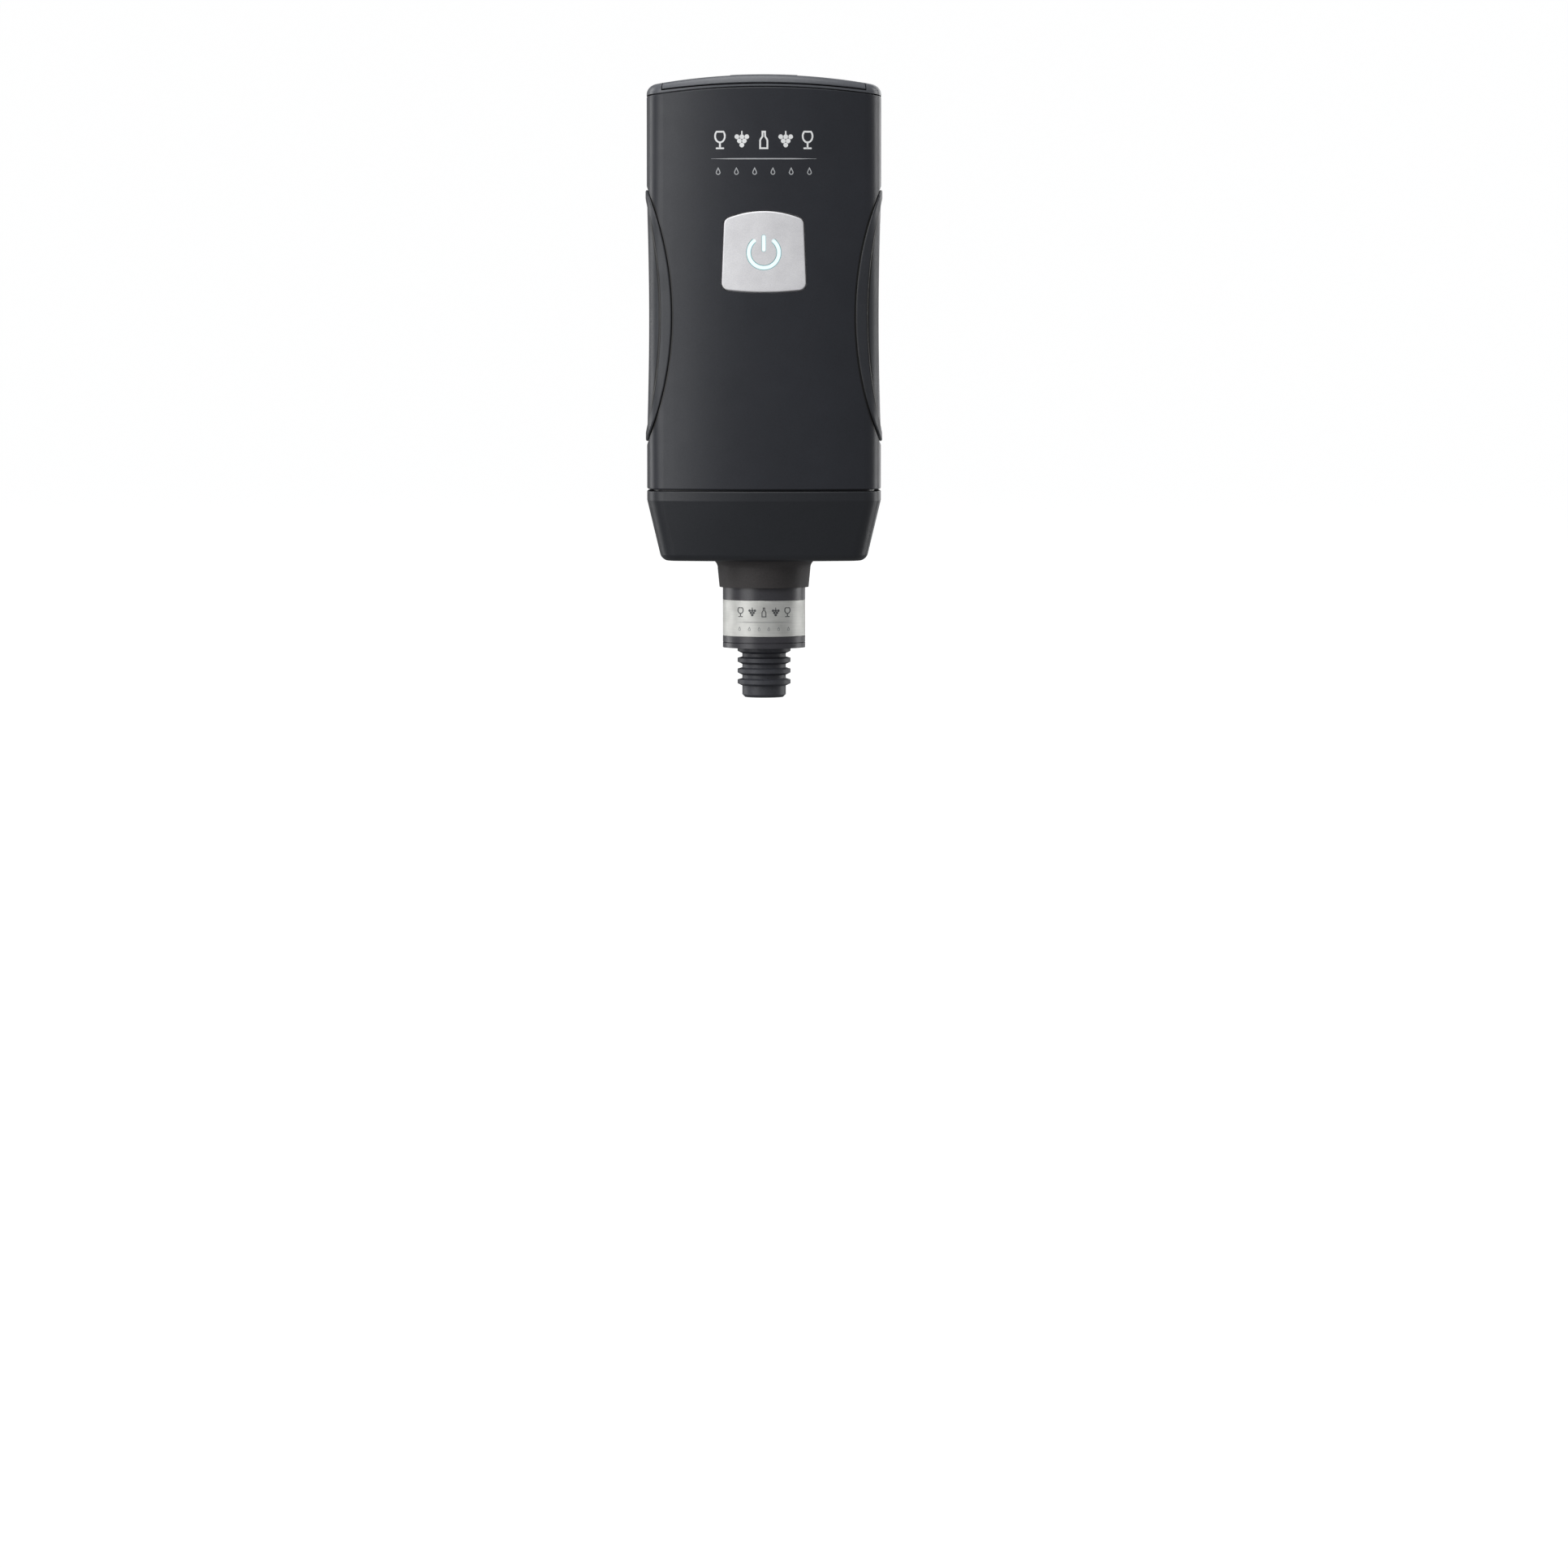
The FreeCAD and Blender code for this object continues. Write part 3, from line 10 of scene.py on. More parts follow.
import bmesh
import bpy
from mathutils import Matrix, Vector


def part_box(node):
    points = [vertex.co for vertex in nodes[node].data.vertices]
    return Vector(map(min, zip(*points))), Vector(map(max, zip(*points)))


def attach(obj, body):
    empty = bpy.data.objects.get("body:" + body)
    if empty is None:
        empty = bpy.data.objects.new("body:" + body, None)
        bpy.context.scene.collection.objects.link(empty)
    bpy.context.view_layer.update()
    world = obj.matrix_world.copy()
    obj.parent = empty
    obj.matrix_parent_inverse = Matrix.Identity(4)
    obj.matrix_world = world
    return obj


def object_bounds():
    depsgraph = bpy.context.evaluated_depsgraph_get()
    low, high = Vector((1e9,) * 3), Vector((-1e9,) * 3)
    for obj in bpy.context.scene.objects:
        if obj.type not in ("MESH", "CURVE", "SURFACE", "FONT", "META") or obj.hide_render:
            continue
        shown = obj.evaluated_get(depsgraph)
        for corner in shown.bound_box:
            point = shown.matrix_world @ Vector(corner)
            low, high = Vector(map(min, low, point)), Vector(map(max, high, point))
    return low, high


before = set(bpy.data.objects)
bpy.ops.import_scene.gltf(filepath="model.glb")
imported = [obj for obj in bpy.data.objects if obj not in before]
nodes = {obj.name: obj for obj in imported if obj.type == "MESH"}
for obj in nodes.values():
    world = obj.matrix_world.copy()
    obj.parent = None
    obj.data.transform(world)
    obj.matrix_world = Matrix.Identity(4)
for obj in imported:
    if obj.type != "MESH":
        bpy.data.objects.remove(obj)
cad_low, cad_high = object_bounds()
print("CAD box in mm:", [round(1000 * (b - a), 1) for a, b in zip(cad_low, cad_high)])

# %% [markdown]
# ## Units, colours and nodes
# Blender works in metres and linear light, while makers talk in millimetres and hex colours. Two tiny
# functions translate. A third adds one shader node with its settings and links, so that every material
# below reads as a short recipe.

# %% Helpers
MM = 0.001


def linear(hex_colour):
    """An sRGB hex colour as linear red, green, blue and alpha."""
    parts = [int(hex_colour[i:i + 2], 16) / 255 for i in (1, 3, 5)]
    return [c / 12.92 if c <= 0.04045 else ((c + 0.055) / 1.055) ** 2.4 for c in parts] + [1.0]


def per(size_mm):
    """The texture scale that repeats once in this many millimetres."""
    return 1 / (size_mm * MM)


def add(tree, kind, inputs=None, **settings):
    """Add a shader node. An input that is a socket is linked, and any other value is set."""
    node = tree.nodes.new("ShaderNode" + kind)
    for name, value in settings.items():
        setattr(node, name, value)
    for name, value in (inputs or {}).items():
        if isinstance(value, bpy.types.NodeSocket):
            tree.links.new(value, node.inputs[name])
        else:
            node.inputs[name].default_value = value
    return node


def start_material(name, **sockets):
    """A new material whose shader has these values; gives the material, its tree, shader and place."""
    material = bpy.data.materials.new(name)
    material.use_nodes = True
    tree = material.node_tree
    shader = tree.nodes["Principled BSDF"]
    for socket, value in sockets.items():
        shader.inputs[socket.replace("_", " ")].default_value = value
    place = add(tree, "TexCoord").outputs["Object"]
    return material, tree, shader, place


def dress(material, *names):
    """Give this material to CAD nodes."""
    for name in names:
        nodes[name].data.materials.clear()
        nodes[name].data.materials.append(material)
    print(material.name, "->", ", ".join(names))


print("middle grey #808080 is", round(linear("#808080")[0], 3), "of full linear light")

# %% [markdown]
# ## Camera
# The pump is seen from straight in front, a little above its middle, through a long lens: from two and a
# half metres its upright edges stay parallel. The frame is 560 mm wide at the pump, and the pump stands
# in its upper half, because in use there is a bottle below it.

# %% Camera
VIEW_DISTANCE = 2.5
VIEW_WIDTH = 0.560
VIEW_HEIGHT = 0.120
AIM = Vector((0.0072, cad_low.y, -0.0478))

bpy.ops.object.camera_add(location=(AIM.x, AIM.y - VIEW_DISTANCE, VIEW_HEIGHT))
camera = bpy.context.object
camera.name = "camera"
camera.rotation_euler = (AIM - camera.location).to_track_quat("-Z", "Y").to_euler()
camera.data.lens = camera.data.sensor_width * VIEW_DISTANCE / VIEW_WIDTH
camera.data.clip_start = 0.05
camera.data.clip_end = 30
bpy.context.scene.camera = camera
bpy.context.scene.view_settings.view_transform = "Standard"
print("lens in mm:", round(camera.data.lens, 1))

# %% [markdown]
# ## Studio
# A seamless bowl of pale paper stands in for floor and walls, so the pump looks the same from every
# side. It starts as a flat disc, whose rim is extruded along a quarter circle in small steps and then
# straight up into a wall.

# %% Paper bowl
PAPER_GAP = 0.1 * MM
PAPER_Z = cad_low.z - PAPER_GAP
PAPER_FLAT = 2.7
PAPER_BEND = 1.2
PAPER_HIGH = 3.2
BEND_STEPS = 12

bpy.ops.object.select_all(action="DESELECT")
bpy.ops.mesh.primitive_circle_add(vertices=96, radius=PAPER_FLAT, fill_type="TRIFAN",
                                  location=(0, 0, PAPER_Z))
bowl = bpy.context.object
bowl.name = "studio_paper"
bpy.ops.object.mode_set(mode="EDIT")
bpy.ops.mesh.select_all(action="SELECT")
bpy.ops.mesh.region_to_loop()
radius, height = PAPER_FLAT, 0.0
for step in range(1, BEND_STEPS + 2):
    angle = math.radians(90 * min(step, BEND_STEPS) / BEND_STEPS)
    next_radius = PAPER_FLAT + PAPER_BEND * math.sin(angle)
    next_height = PAPER_BEND * (1 - math.cos(angle)) if step <= BEND_STEPS else PAPER_HIGH
    bpy.ops.mesh.extrude_edges_move(TRANSFORM_OT_translate={"value": (0, 0, next_height - height)})
    grow = next_radius / radius
    bpy.ops.transform.resize(value=(grow, grow, 1), center_override=(0, 0, PAPER_Z))
    radius, height = next_radius, next_height
bpy.ops.object.mode_set(mode="OBJECT")
bpy.ops.object.shade_smooth()
print("paper bowl:", len(bowl.data.polygons), "faces")

# %% [markdown]
# The paper is matt, and pressed fibres a few millimetres long make it faintly cloudy. It is grey and glows
# a little, so that the lamps leave no hot spot on it. It doesn't show in reflections or light the pump:
# dark plastic mirrors what surrounds it, and a white room would wash it out.

# %% Paper
bowl.visible_glossy = False
bowl.visible_diffuse = False
paper, tree, shader, place = start_material("Seamless_paper_matte", Roughness=0.9, Specular_IOR_Level=0.1,
                                            Emission_Strength=0.92)
fibre = add(tree, "TexNoise", {"Vector": place, "Scale": per(4.0), "Detail": 3.0})
tone = add(tree, "Mix", {0: fibre.outputs["Fac"], 6: linear("#7c7c7c"), 7: linear("#868686")},
           data_type="RGBA")
tree.links.new(tone.outputs[2], shader.inputs["Base Color"])
shader.inputs["Emission Color"].default_value = linear("#ffffff")
bowl.data.materials.append(paper)
print("paper glow:", round(shader.inputs["Emission Strength"].default_value, 2))

# %% [markdown]
# ## Light
# Soft boxes are what the plastic mirrors. A large one on the left shades the front from grey to near
# black, two above light the rounded crown, two strips behind draw bright lines down both edges, and a weak
# one fills the back. A box is given by its brightness as seen, so it can change size and keep its look.


# %% Soft boxes
def soft_box(name, stand, size, radiance):
    """A rectangular light with its place and size in metres, aimed at the pump's middle."""
    bpy.ops.object.light_add(type="AREA", location=stand)
    light = bpy.context.object
    light.name = name
    light.data.shape = "RECTANGLE"
    light.data.size, light.data.size_y = size
    light.data.energy = radiance * math.pi * size[0] * size[1]
    middle = (cad_low + cad_high) / 2
    light.rotation_euler = (middle - light.location).to_track_quat("-Z", "Y").to_euler()
    light.visible_camera = False


soft_box("key_left", (-1.05, -0.95, 0.35), (0.9, 1.5), 2.95)
soft_box("front_top", (-0.20, -1.05, 1.15), (1.2, 0.7), 2.6)
soft_box("overhead", (-0.15, -0.10, 1.35), (1.1, 0.9), 3.0)
soft_box("rim_left", (-1.15, 0.55, 0.25), (0.5, 1.3), 3.2)
soft_box("rim_right", (1.15, 0.50, 0.25), (0.45, 1.3), 3.6)
soft_box("fill_back", (0.55, 1.35, 0.45), (0.9, 1.1), 1.2)

# %% [markdown]
# Air scatters a little cool light into every hollow, so that no joint or screw well is quite black.

# %% Air
air = bpy.data.worlds.new("studio_air")
bpy.context.scene.world = air
air.use_nodes = True
sky = air.node_tree.nodes["Background"]
sky.inputs["Color"].default_value = linear("#f4f6f8")
sky.inputs["Strength"].default_value = 0.30
print("air strength:", round(sky.inputs["Strength"].default_value, 2))

# %% [markdown]
# ## Moulded plastic
# Nearly all that shows is moulded plastic or rubber. A steel tool eaten by sparks gives it a fine satin
# grain, so light breaks up softly instead of mirroring. The real grain is about a tenth of a millimetre,
# too fine to show at this size, so it is drawn at 0.5 mm and kept shallow. Two slower noises vary tone and
# gloss, as flow in the tool and handling do.


# %% A recipe for moulded parts
def moulded(name, dark, light, roughness, grain_mm=0.5, depth_mm=0.012, **sockets):
    """Spark-eroded plastic or rubber, cloudy from dark to light, with a fine grain in its bump."""
    material, tree, shader, place = start_material(name, **sockets)
    cloud = add(tree, "TexNoise", {"Vector": place, "Scale": per(28.0), "Detail": 4.0, "Roughness": 0.6})
    grain = add(tree, "TexNoise", {"Vector": place, "Scale": per(grain_mm), "Detail": 2.0})
    blend = add(tree, "Math", {0: cloud.outputs["Fac"], 1: grain.outputs["Fac"]}, operation="ADD")
    share = add(tree, "MapRange", {"Value": blend.outputs[0], "From Min": 0.7, "From Max": 1.3})
    tone = add(tree, "Mix", {0: share.outputs[0], 6: linear(dark), 7: linear(light)}, data_type="RGBA")
    smudge = add(tree, "TexNoise", {"Vector": place, "Scale": per(9.0), "Detail": 5.0, "Distortion": 0.4})
    gloss = add(tree, "MapRange", {"Value": smudge.outputs["Fac"], "From Min": 0.3, "From Max": 0.7,
                                   "To Min": roughness - 0.03, "To Max": roughness + 0.03})
    bump = add(tree, "Bump", {"Height": grain.outputs["Fac"], "Strength": 0.7, "Distance": depth_mm * MM})
    tree.links.new(tone.outputs[2], shader.inputs["Base Color"])
    tree.links.new(gloss.outputs[0], shader.inputs["Roughness"])
    tree.links.new(bump.outputs[0], shader.inputs["Normal"])
    print(name, "roughness about", roughness)
    return material


# %% [markdown]
# The casing is ABS in a bluish near black. The crown is the same plastic in a lighter grey, made lighter
# still as painted light on the top, and the base a slightly darker one. The grips are a thermoplastic
# elastomer, which is duller and warmer to the touch. The nozzle is a softer rubber with a brownish cast
# that picks up dust.

# %% Casing, crown, base, grips and nozzle
casing = moulded("ABS_spark_eroded_casing", "#202228", "#26282f", 0.42)
# The crown's grey is partly its own colour and partly painted light on the top.
crown = moulded("ABS_spark_eroded_crown", "#4e5055", "#56585d", 0.36)
base = moulded("ABS_spark_eroded_base", "#1e2025", "#24262b", 0.44)
grip = moulded("TPE_moulded_grip", "#2b2d32", "#323439", 0.46, grain_mm=0.5, depth_mm=0.01)
nozzle_rubber = moulded("Rubber_moulded_nozzle", "#322f2f", "#3d3939", 0.62, grain_mm=0.6, depth_mm=0.02)
dress(casing, "front_shell", "rear_shell")
dress(crown, "top_surround", "battery_lid")
dress(base, "base_cap")
dress(grip, "left_grip_frame", "right_grip_frame", "left_grip_pad", "right_grip_pad")
dress(nozzle_rubber, "nozzle", "nozzle_seal")

# %% [markdown]
# The two curved joints of each grip, one round its raised rim and one round its pad, are deep, and the
# shade that falls in them is painted into the colour. Seen from the front the joints are arcs of a circle,
# so the shader measures the distance to that circle and paints dark shade on whatever lies in the joint.
# The painted shade is drawn a little wider than the joint, so that it shows. On the flanks the arcs run
# nearly level with the wall and would smear over it, so the painted shade fades out there.

# %% Painted shade in the grip joints
HALF_WIDTH = 42.15 * MM
GRIP_Z = 119.45 * MM
JOINT_HALF = 0.35 * MM
DARK_HALF = 1.2 * JOINT_HALF
CLEAR_HALF = 1.5 * JOINT_HALF
FLANK_CLEAR = HALF_WIDTH - 1.0 * MM
FLANK_DARK = HALF_WIDTH - 2.0 * MM
RIM_ARC = (119.0 * MM, 9.45 * MM)
PAD_ARC = (166.0 * MM, 5.0 * MM)


def joint_shade_mask(tree, place, radius, depth):
    """Painted shade mask: 1 in the joint along an arc of this radius, which reaches this deep into the body.
    """
    axes = add(tree, "SeparateXYZ", {0: place})
    away = add(tree, "Math", {0: axes.outputs["X"]}, operation="ABSOLUTE")
    across = add(tree, "Math", {0: away.outputs[0], 1: HALF_WIDTH - depth + radius}, operation="SUBTRACT")
    along = add(tree, "Math", {0: axes.outputs["Z"], 1: GRIP_Z}, operation="SUBTRACT")
    flat = add(tree, "CombineXYZ", {"X": across.outputs[0], "Y": along.outputs[0]})
    reach = add(tree, "VectorMath", {0: flat.outputs[0]}, operation="LENGTH")
    off = add(tree, "Math", {0: reach.outputs["Value"], 1: radius}, operation="SUBTRACT")
    off = add(tree, "Math", {0: off.outputs[0]}, operation="ABSOLUTE")
    near = add(tree, "MapRange", {"Value": off.outputs[0], "From Min": CLEAR_HALF, "From Max": DARK_HALF})
    inboard = add(tree, "MapRange", {"Value": away.outputs[0], "From Min": FLANK_CLEAR,
                                     "From Max": FLANK_DARK})
    return add(tree, "Math", {0: near.outputs[0], 1: inboard.outputs[0]}, operation="MULTIPLY").outputs[0]


for material in (casing, grip):
    tree = material.node_tree
    shader = tree.nodes["Principled BSDF"]
    place = tree.nodes["Texture Coordinate"].outputs["Object"]
    for radius, depth in (RIM_ARC, PAD_ARC):
        clean = shader.inputs["Base Color"].links[0].from_socket
        painted_joint_shade = joint_shade_mask(tree, place, radius, depth)
        # Painted shade: near black mixed into the colour along the joint.
        shaded = add(tree, "Mix", {0: painted_joint_shade, 6: clean, 7: linear("#050506")}, data_type="RGBA")
        tree.links.new(shaded.outputs[2], shader.inputs["Base Color"])
print("dark lines round the grips:", round(2 * DARK_HALF / MM, 2), "mm wide")

# %% [markdown]
# The stopper's collars are a mid-grey ABS. Its plug is silicone, which is soft, slightly translucent
# and always a little dusty. Inside the casing, parts that nobody sees are left as plain black or natural
# mouldings with a coarser grain.

# %% Stopper, plug and inner mouldings
collar = moulded("ABS_moulded_collar", "#353438", "#3e3d42", 0.38)
silicone = moulded("Silicone_moulded_plug", "#35363a", "#42434a", 0.5, grain_mm=0.8, depth_mm=0.015,
                   Subsurface_Weight=0.08, Subsurface_Radius=(2 * MM, 2 * MM, 2 * MM))
inner = moulded("ABS_moulded_inner", "#26272a", "#303135", 0.5, grain_mm=0.7, depth_mm=0.015)
acetal = moulded("Acetal_natural_moulded", "#cfcdc4", "#dbd9d1", 0.4, grain_mm=0.7, Subsurface_Weight=0.1,
                 Subsurface_Radius=(2 * MM, 2 * MM, 1.5 * MM))
elastomer = moulded("EPDM_moulded_black", "#141415", "#1e1e20", 0.66, grain_mm=0.6, depth_mm=0.02)
hose = moulded("Silicone_extruded_hose", "#bdbdb6", "#d2d2cb", 0.34, grain_mm=1.2, Subsurface_Weight=0.35,
               Subsurface_Radius=(3 * MM, 3 * MM, 2.5 * MM))
dress(collar, "stopper_cap", "stopper_base_ring")
dress(silicone, "stopper_plug", "stopper_valve")
dress(inner, "battery_tray", "motor_cradle", "motor_strap", "nozzle_insert", "tact_switch", "motor_end_cap",
      "pump_cover", "pump_housing")
dress(acetal, "wobble_plate", "valve_plate", "switch_plunger")
dress(elastomer, "motor_sleeve", "diaphragm", "valve_flaps")
dress(hose, "suction_hose")

# %% [markdown]
# ## Silver lacquer
# The button is plastic sprayed with a lacquer full of aluminium flakes. Each flake lies at its own small
# angle, so the surface is satin from afar and sparkles up close. They float in a pale binder, so the whole
# is only partly metallic. Real flakes are under a tenth of a millimetre: here each cell of a Voronoi pattern
# is one flake 0.22 mm across, with its own tone and tilt.

# %% Button lacquer
lacquer, tree, shader, place = start_material("Silver_lacquer_sprayed", Metallic=0.35, Coat_Weight=0.1,
                                              Coat_Roughness=0.22)
flake = add(tree, "TexVoronoi", {"Vector": place, "Scale": per(0.22)})
chance = add(tree, "SeparateXYZ", {0: flake.outputs["Color"]})
haze = add(tree, "TexNoise", {"Vector": place, "Scale": per(7.0), "Detail": 3.0})
mixed = add(tree, "Math", {0: chance.outputs["X"], 1: 0.35, 2: haze.outputs["Fac"]},
            operation="MULTIPLY_ADD")
tone = add(tree, "Mix", {0: mixed.outputs[0], 6: linear("#dad9dc"), 7: linear("#f6f5f7")}, data_type="RGBA")
gloss = add(tree, "MapRange", {"Value": chance.outputs["Y"], "To Min": 0.42, "To Max": 0.56})
tilt = add(tree, "Bump", {"Height": chance.outputs["Z"], "Strength": 0.5, "Distance": 0.004 * MM})
tree.links.new(tone.outputs[2], shader.inputs["Base Color"])
tree.links.new(gloss.outputs[0], shader.inputs["Roughness"])
tree.links.new(tilt.outputs[0], shader.inputs["Normal"])
dress(lacquer, "power_button")

# %% [markdown]
# ## Light guide
# The power mark is one frosted acrylic moulding, lit from behind by four small lamps. It glows icy white
# along the middle of each stroke and falls to teal at the edges, where the button's pocket shades it. The
# shader measures how far each point is from the middle of its stroke: from the circle for the ring, and
# from the nearest point of an upright line for the bar. In the ring's opening only the bar counts.

# %% Power mark
MARK_Z = 141.9 * MM
MARK_RING = 5.4 * MM
STROKE_HALF = 0.9 * MM
BAR_LOW = 1.0 * MM
BAR_HIGH = 5.6 * MM
OPENING_HALF = 2.2 * MM

acrylic, tree, shader, place = start_material("Acrylic_frosted_light_guide", Roughness=0.35,
                                              Subsurface_Weight=0.3, Emission_Strength=0.5)
centred = add(tree, "Mapping", {"Vector": place, "Location": (0, 0, -MARK_Z), "Scale": (1, 0, 1)})
radius = add(tree, "VectorMath", {0: centred.outputs[0]}, operation="LENGTH")
from_ring = add(tree, "Math", {0: radius.outputs["Value"], 1: MARK_RING}, operation="SUBTRACT")
from_ring = add(tree, "Math", {0: from_ring.outputs[0]}, operation="ABSOLUTE")
axes = add(tree, "SeparateXYZ", {0: centred.outputs[0]})
sideways = add(tree, "Math", {0: axes.outputs["X"]}, operation="ABSOLUTE")
opening = add(tree, "Math", {0: OPENING_HALF, 1: sideways.outputs[0]}, operation="SUBTRACT")
opening = add(tree, "Math", {0: opening.outputs[0], 1: axes.outputs["Z"]}, operation="MINIMUM")
from_ring = add(tree, "Math", {0: from_ring.outputs[0], 1: opening.outputs[0]}, operation="MAXIMUM")
on_bar = add(tree, "Clamp", {"Value": axes.outputs["Z"], "Min": BAR_LOW, "Max": BAR_HIGH})
past_end = add(tree, "Math", {0: axes.outputs["Z"], 1: on_bar.outputs[0]}, operation="SUBTRACT")
from_bar = add(tree, "CombineXYZ", {"X": axes.outputs["X"], "Y": past_end.outputs[0]})
from_bar = add(tree, "VectorMath", {0: from_bar.outputs[0]}, operation="LENGTH")
nearest = add(tree, "Math", {0: from_ring.outputs[0], 1: from_bar.outputs["Value"]}, operation="MINIMUM")
edge = add(tree, "MapRange", {"Value": nearest.outputs[0], "From Min": 0.5 * STROKE_HALF,
                              "From Max": 0.98 * STROKE_HALF}, interpolation_type="SMOOTHSTEP")
frost = add(tree, "TexNoise", {"Vector": place, "Scale": per(0.5), "Detail": 2.0})
core = add(tree, "Mix", {0: frost.outputs["Fac"], 6: linear("#e6f6f4"), 7: linear("#f4fcfb")},
           data_type="RGBA")
glow = add(tree, "Mix", {0: edge.outputs[0], 6: core.outputs[2], 7: linear("#4d8487")}, data_type="RGBA")
tree.links.new(glow.outputs[2], shader.inputs["Base Color"])
tree.links.new(glow.outputs[2], shader.inputs["Emission Color"])
dress(acrylic, "power_symbol")

# %% [markdown]
# ## Brushed steel
# The stopper's band is stainless strip, rolled into a ring and brushed round and round. The brush leaves
# fine scratches that run round the band, about a tenth of a millimetre apart, drawn here at 0.25 mm so
# that they show. A noise that is squeezed along the height and stretched sideways makes such lines. The
# band is curved and brushed dull, and mirrors few lamps, so it is given some plain grey under its metal to
# stay bright all round.


# %% Steel band
def brushed(name, dark, light, roughness, stretch, line_mm=0.25, depth_mm=0.003, metallic=1.0):
    """Metal with fine scratches. Stretch says how the noise is drawn out along x, y and z."""
    material, tree, shader, place = start_material(name, Metallic=metallic, Anisotropic=0.3)
    drawn = add(tree, "Mapping", {"Vector": place, "Scale": stretch})
    lines = add(tree, "TexNoise", {"Vector": drawn.outputs[0], "Scale": per(line_mm), "Detail": 4.0})
    haze = add(tree, "TexNoise", {"Vector": place, "Scale": per(6.0), "Detail": 2.0})
    both = add(tree, "Math", {0: lines.outputs["Fac"], 1: 0.7, 2: haze.outputs["Fac"]},
               operation="MULTIPLY_ADD")
    share = add(tree, "MapRange", {"Value": both.outputs[0], "From Min": 0.6, "From Max": 1.1})
    tone = add(tree, "Mix", {0: share.outputs[0], 6: linear(dark), 7: linear(light)}, data_type="RGBA")
    gloss = add(tree, "MapRange", {"Value": lines.outputs["Fac"], "From Min": 0.3, "From Max": 0.7,
                                   "To Min": roughness - 0.05, "To Max": roughness + 0.07})
    bump = add(tree, "Bump", {"Height": lines.outputs["Fac"], "Strength": 0.6, "Distance": depth_mm * MM})
    tree.links.new(tone.outputs[2], shader.inputs["Base Color"])
    tree.links.new(gloss.outputs[0], shader.inputs["Roughness"])
    tree.links.new(bump.outputs[0], shader.inputs["Normal"])
    print(name, "scratches", line_mm, "mm apart")
    return material


band_steel = brushed("Stainless_steel_brushed_band", "#c3c3bf", "#dcdcd8", 0.5, (0.03, 0.03, 1.0),
                     metallic=0.6)
dress(band_steel, "stopper_band")

# %% [markdown]
# ## Working metals
# Inside are the ordinary metals of small motors: zinc-plated screws with a bluish sheen, a drawn steel
# can, ground steel shafts, springs of hard wire, sintered bronze bearings, a brass counterweight, copper
# windings under reddish enamel, and a core of stacked sheets whose edges show as fine lines.

# %% Screws, motor and contacts
zinc = brushed("Zinc_plated_steel", "#a9adb3", "#cdd1d6", 0.32, (1.0, 1.0, 1.0), line_mm=0.6)
drawn_steel = brushed("Steel_deep_drawn_can", "#9c9d9e", "#bcbdbd", 0.3, (1.0, 1.0, 0.05), line_mm=0.5)
ground_steel = brushed("Steel_ground_shaft", "#b5b5b6", "#d0d0d0", 0.2, (1.0, 1.0, 0.2), line_mm=0.3)
nickel = brushed("Nickel_plated_spring", "#cbc7bd", "#d6d2c8", 0.34, (0.1, 1.0, 1.0),
                 line_mm=0.4, metallic=0.85)
bronze = brushed("Bronze_sintered_bearing", "#8c6a3c", "#b0894f", 0.45, (1.0, 1.0, 1.0), line_mm=0.3)
brass = brushed("Brass_turned_weight", "#b08d4c", "#d2b068", 0.28, (1.0, 1.0, 0.1), line_mm=0.3)
sheets = brushed("Steel_stacked_sheets", "#55575a", "#8b8d90", 0.4, (0.02, 0.02, 1.0),
                 line_mm=0.5, depth_mm=0.02)
enamel = brushed("Copper_enamelled_wire", "#8f4a26", "#c77840", 0.3, (1.0, 1.0, 0.2),
                 line_mm=0.35, depth_mm=0.03)
copper = brushed("Copper_turned_segments", "#b0683f", "#d08a5e", 0.3, (1.0, 1.0, 0.1), line_mm=0.3)
ferrite = moulded("Ferrite_pressed_magnet", "#2a2a2b", "#3a3a3b", 0.55, grain_mm=0.5, depth_mm=0.02)
dress(zinc, "case_screws", "cradle_screws", "small_screws", "pump_screws")
dress(drawn_steel, "motor_can")
dress(ground_steel, "motor_shaft", "crank_pin", "lid_hinge_pins")
dress(nickel, "battery_springs", "battery_contacts", "lid_contacts")
dress(bronze, "motor_bushings")
dress(brass, "eccentric")
dress(sheets, "rotor_core")
dress(enamel, "rotor_windings")
dress(copper, "commutator", "motor_brushes")
dress(ferrite, "motor_magnets")

# %% [markdown]
# ## Electronics
# The board is glass-fibre laminate under green lacquer, and paler copper tracks show through it. The lines
# between the blocks of a brick pattern make such tracks, 5 mm apart. The pattern is drawn in a level
# plane, so it is turned to stand upright with the board.

# %% Circuit board
laminate, tree, shader, place = start_material("Laminate_green_solder_mask", Roughness=0.3, Coat_Weight=0.3)
turned = add(tree, "Mapping", {"Vector": place, "Rotation": (math.radians(90), 0, 0)})
grid = add(tree, "TexBrick", {"Vector": turned.outputs[0], "Scale": per(5.0), "Mortar Size": 0.07,
                              "Color1": (0, 0, 0, 1), "Color2": (0, 0, 0, 1), "Mortar": (1, 1, 1, 1)})
weave = add(tree, "TexNoise", {"Vector": place, "Scale": per(1.5), "Detail": 3.0})
mask = add(tree, "Mix", {0: weave.outputs["Fac"], 6: linear("#0f4a26"), 7: linear("#17602f")},
           data_type="RGBA")
tracks = add(tree, "Mix", {0: grid.outputs["Color"], 6: mask.outputs[2], 7: linear("#2f8a4c")},
             data_type="RGBA")
relief = add(tree, "Bump", {"Height": grid.outputs["Fac"], "Strength": 0.5, "Distance": 0.03 * MM},
             invert=True)
tree.links.new(tracks.outputs[2], shader.inputs["Base Color"])
tree.links.new(relief.outputs[0], shader.inputs["Normal"])
dress(laminate, "circuit_board")

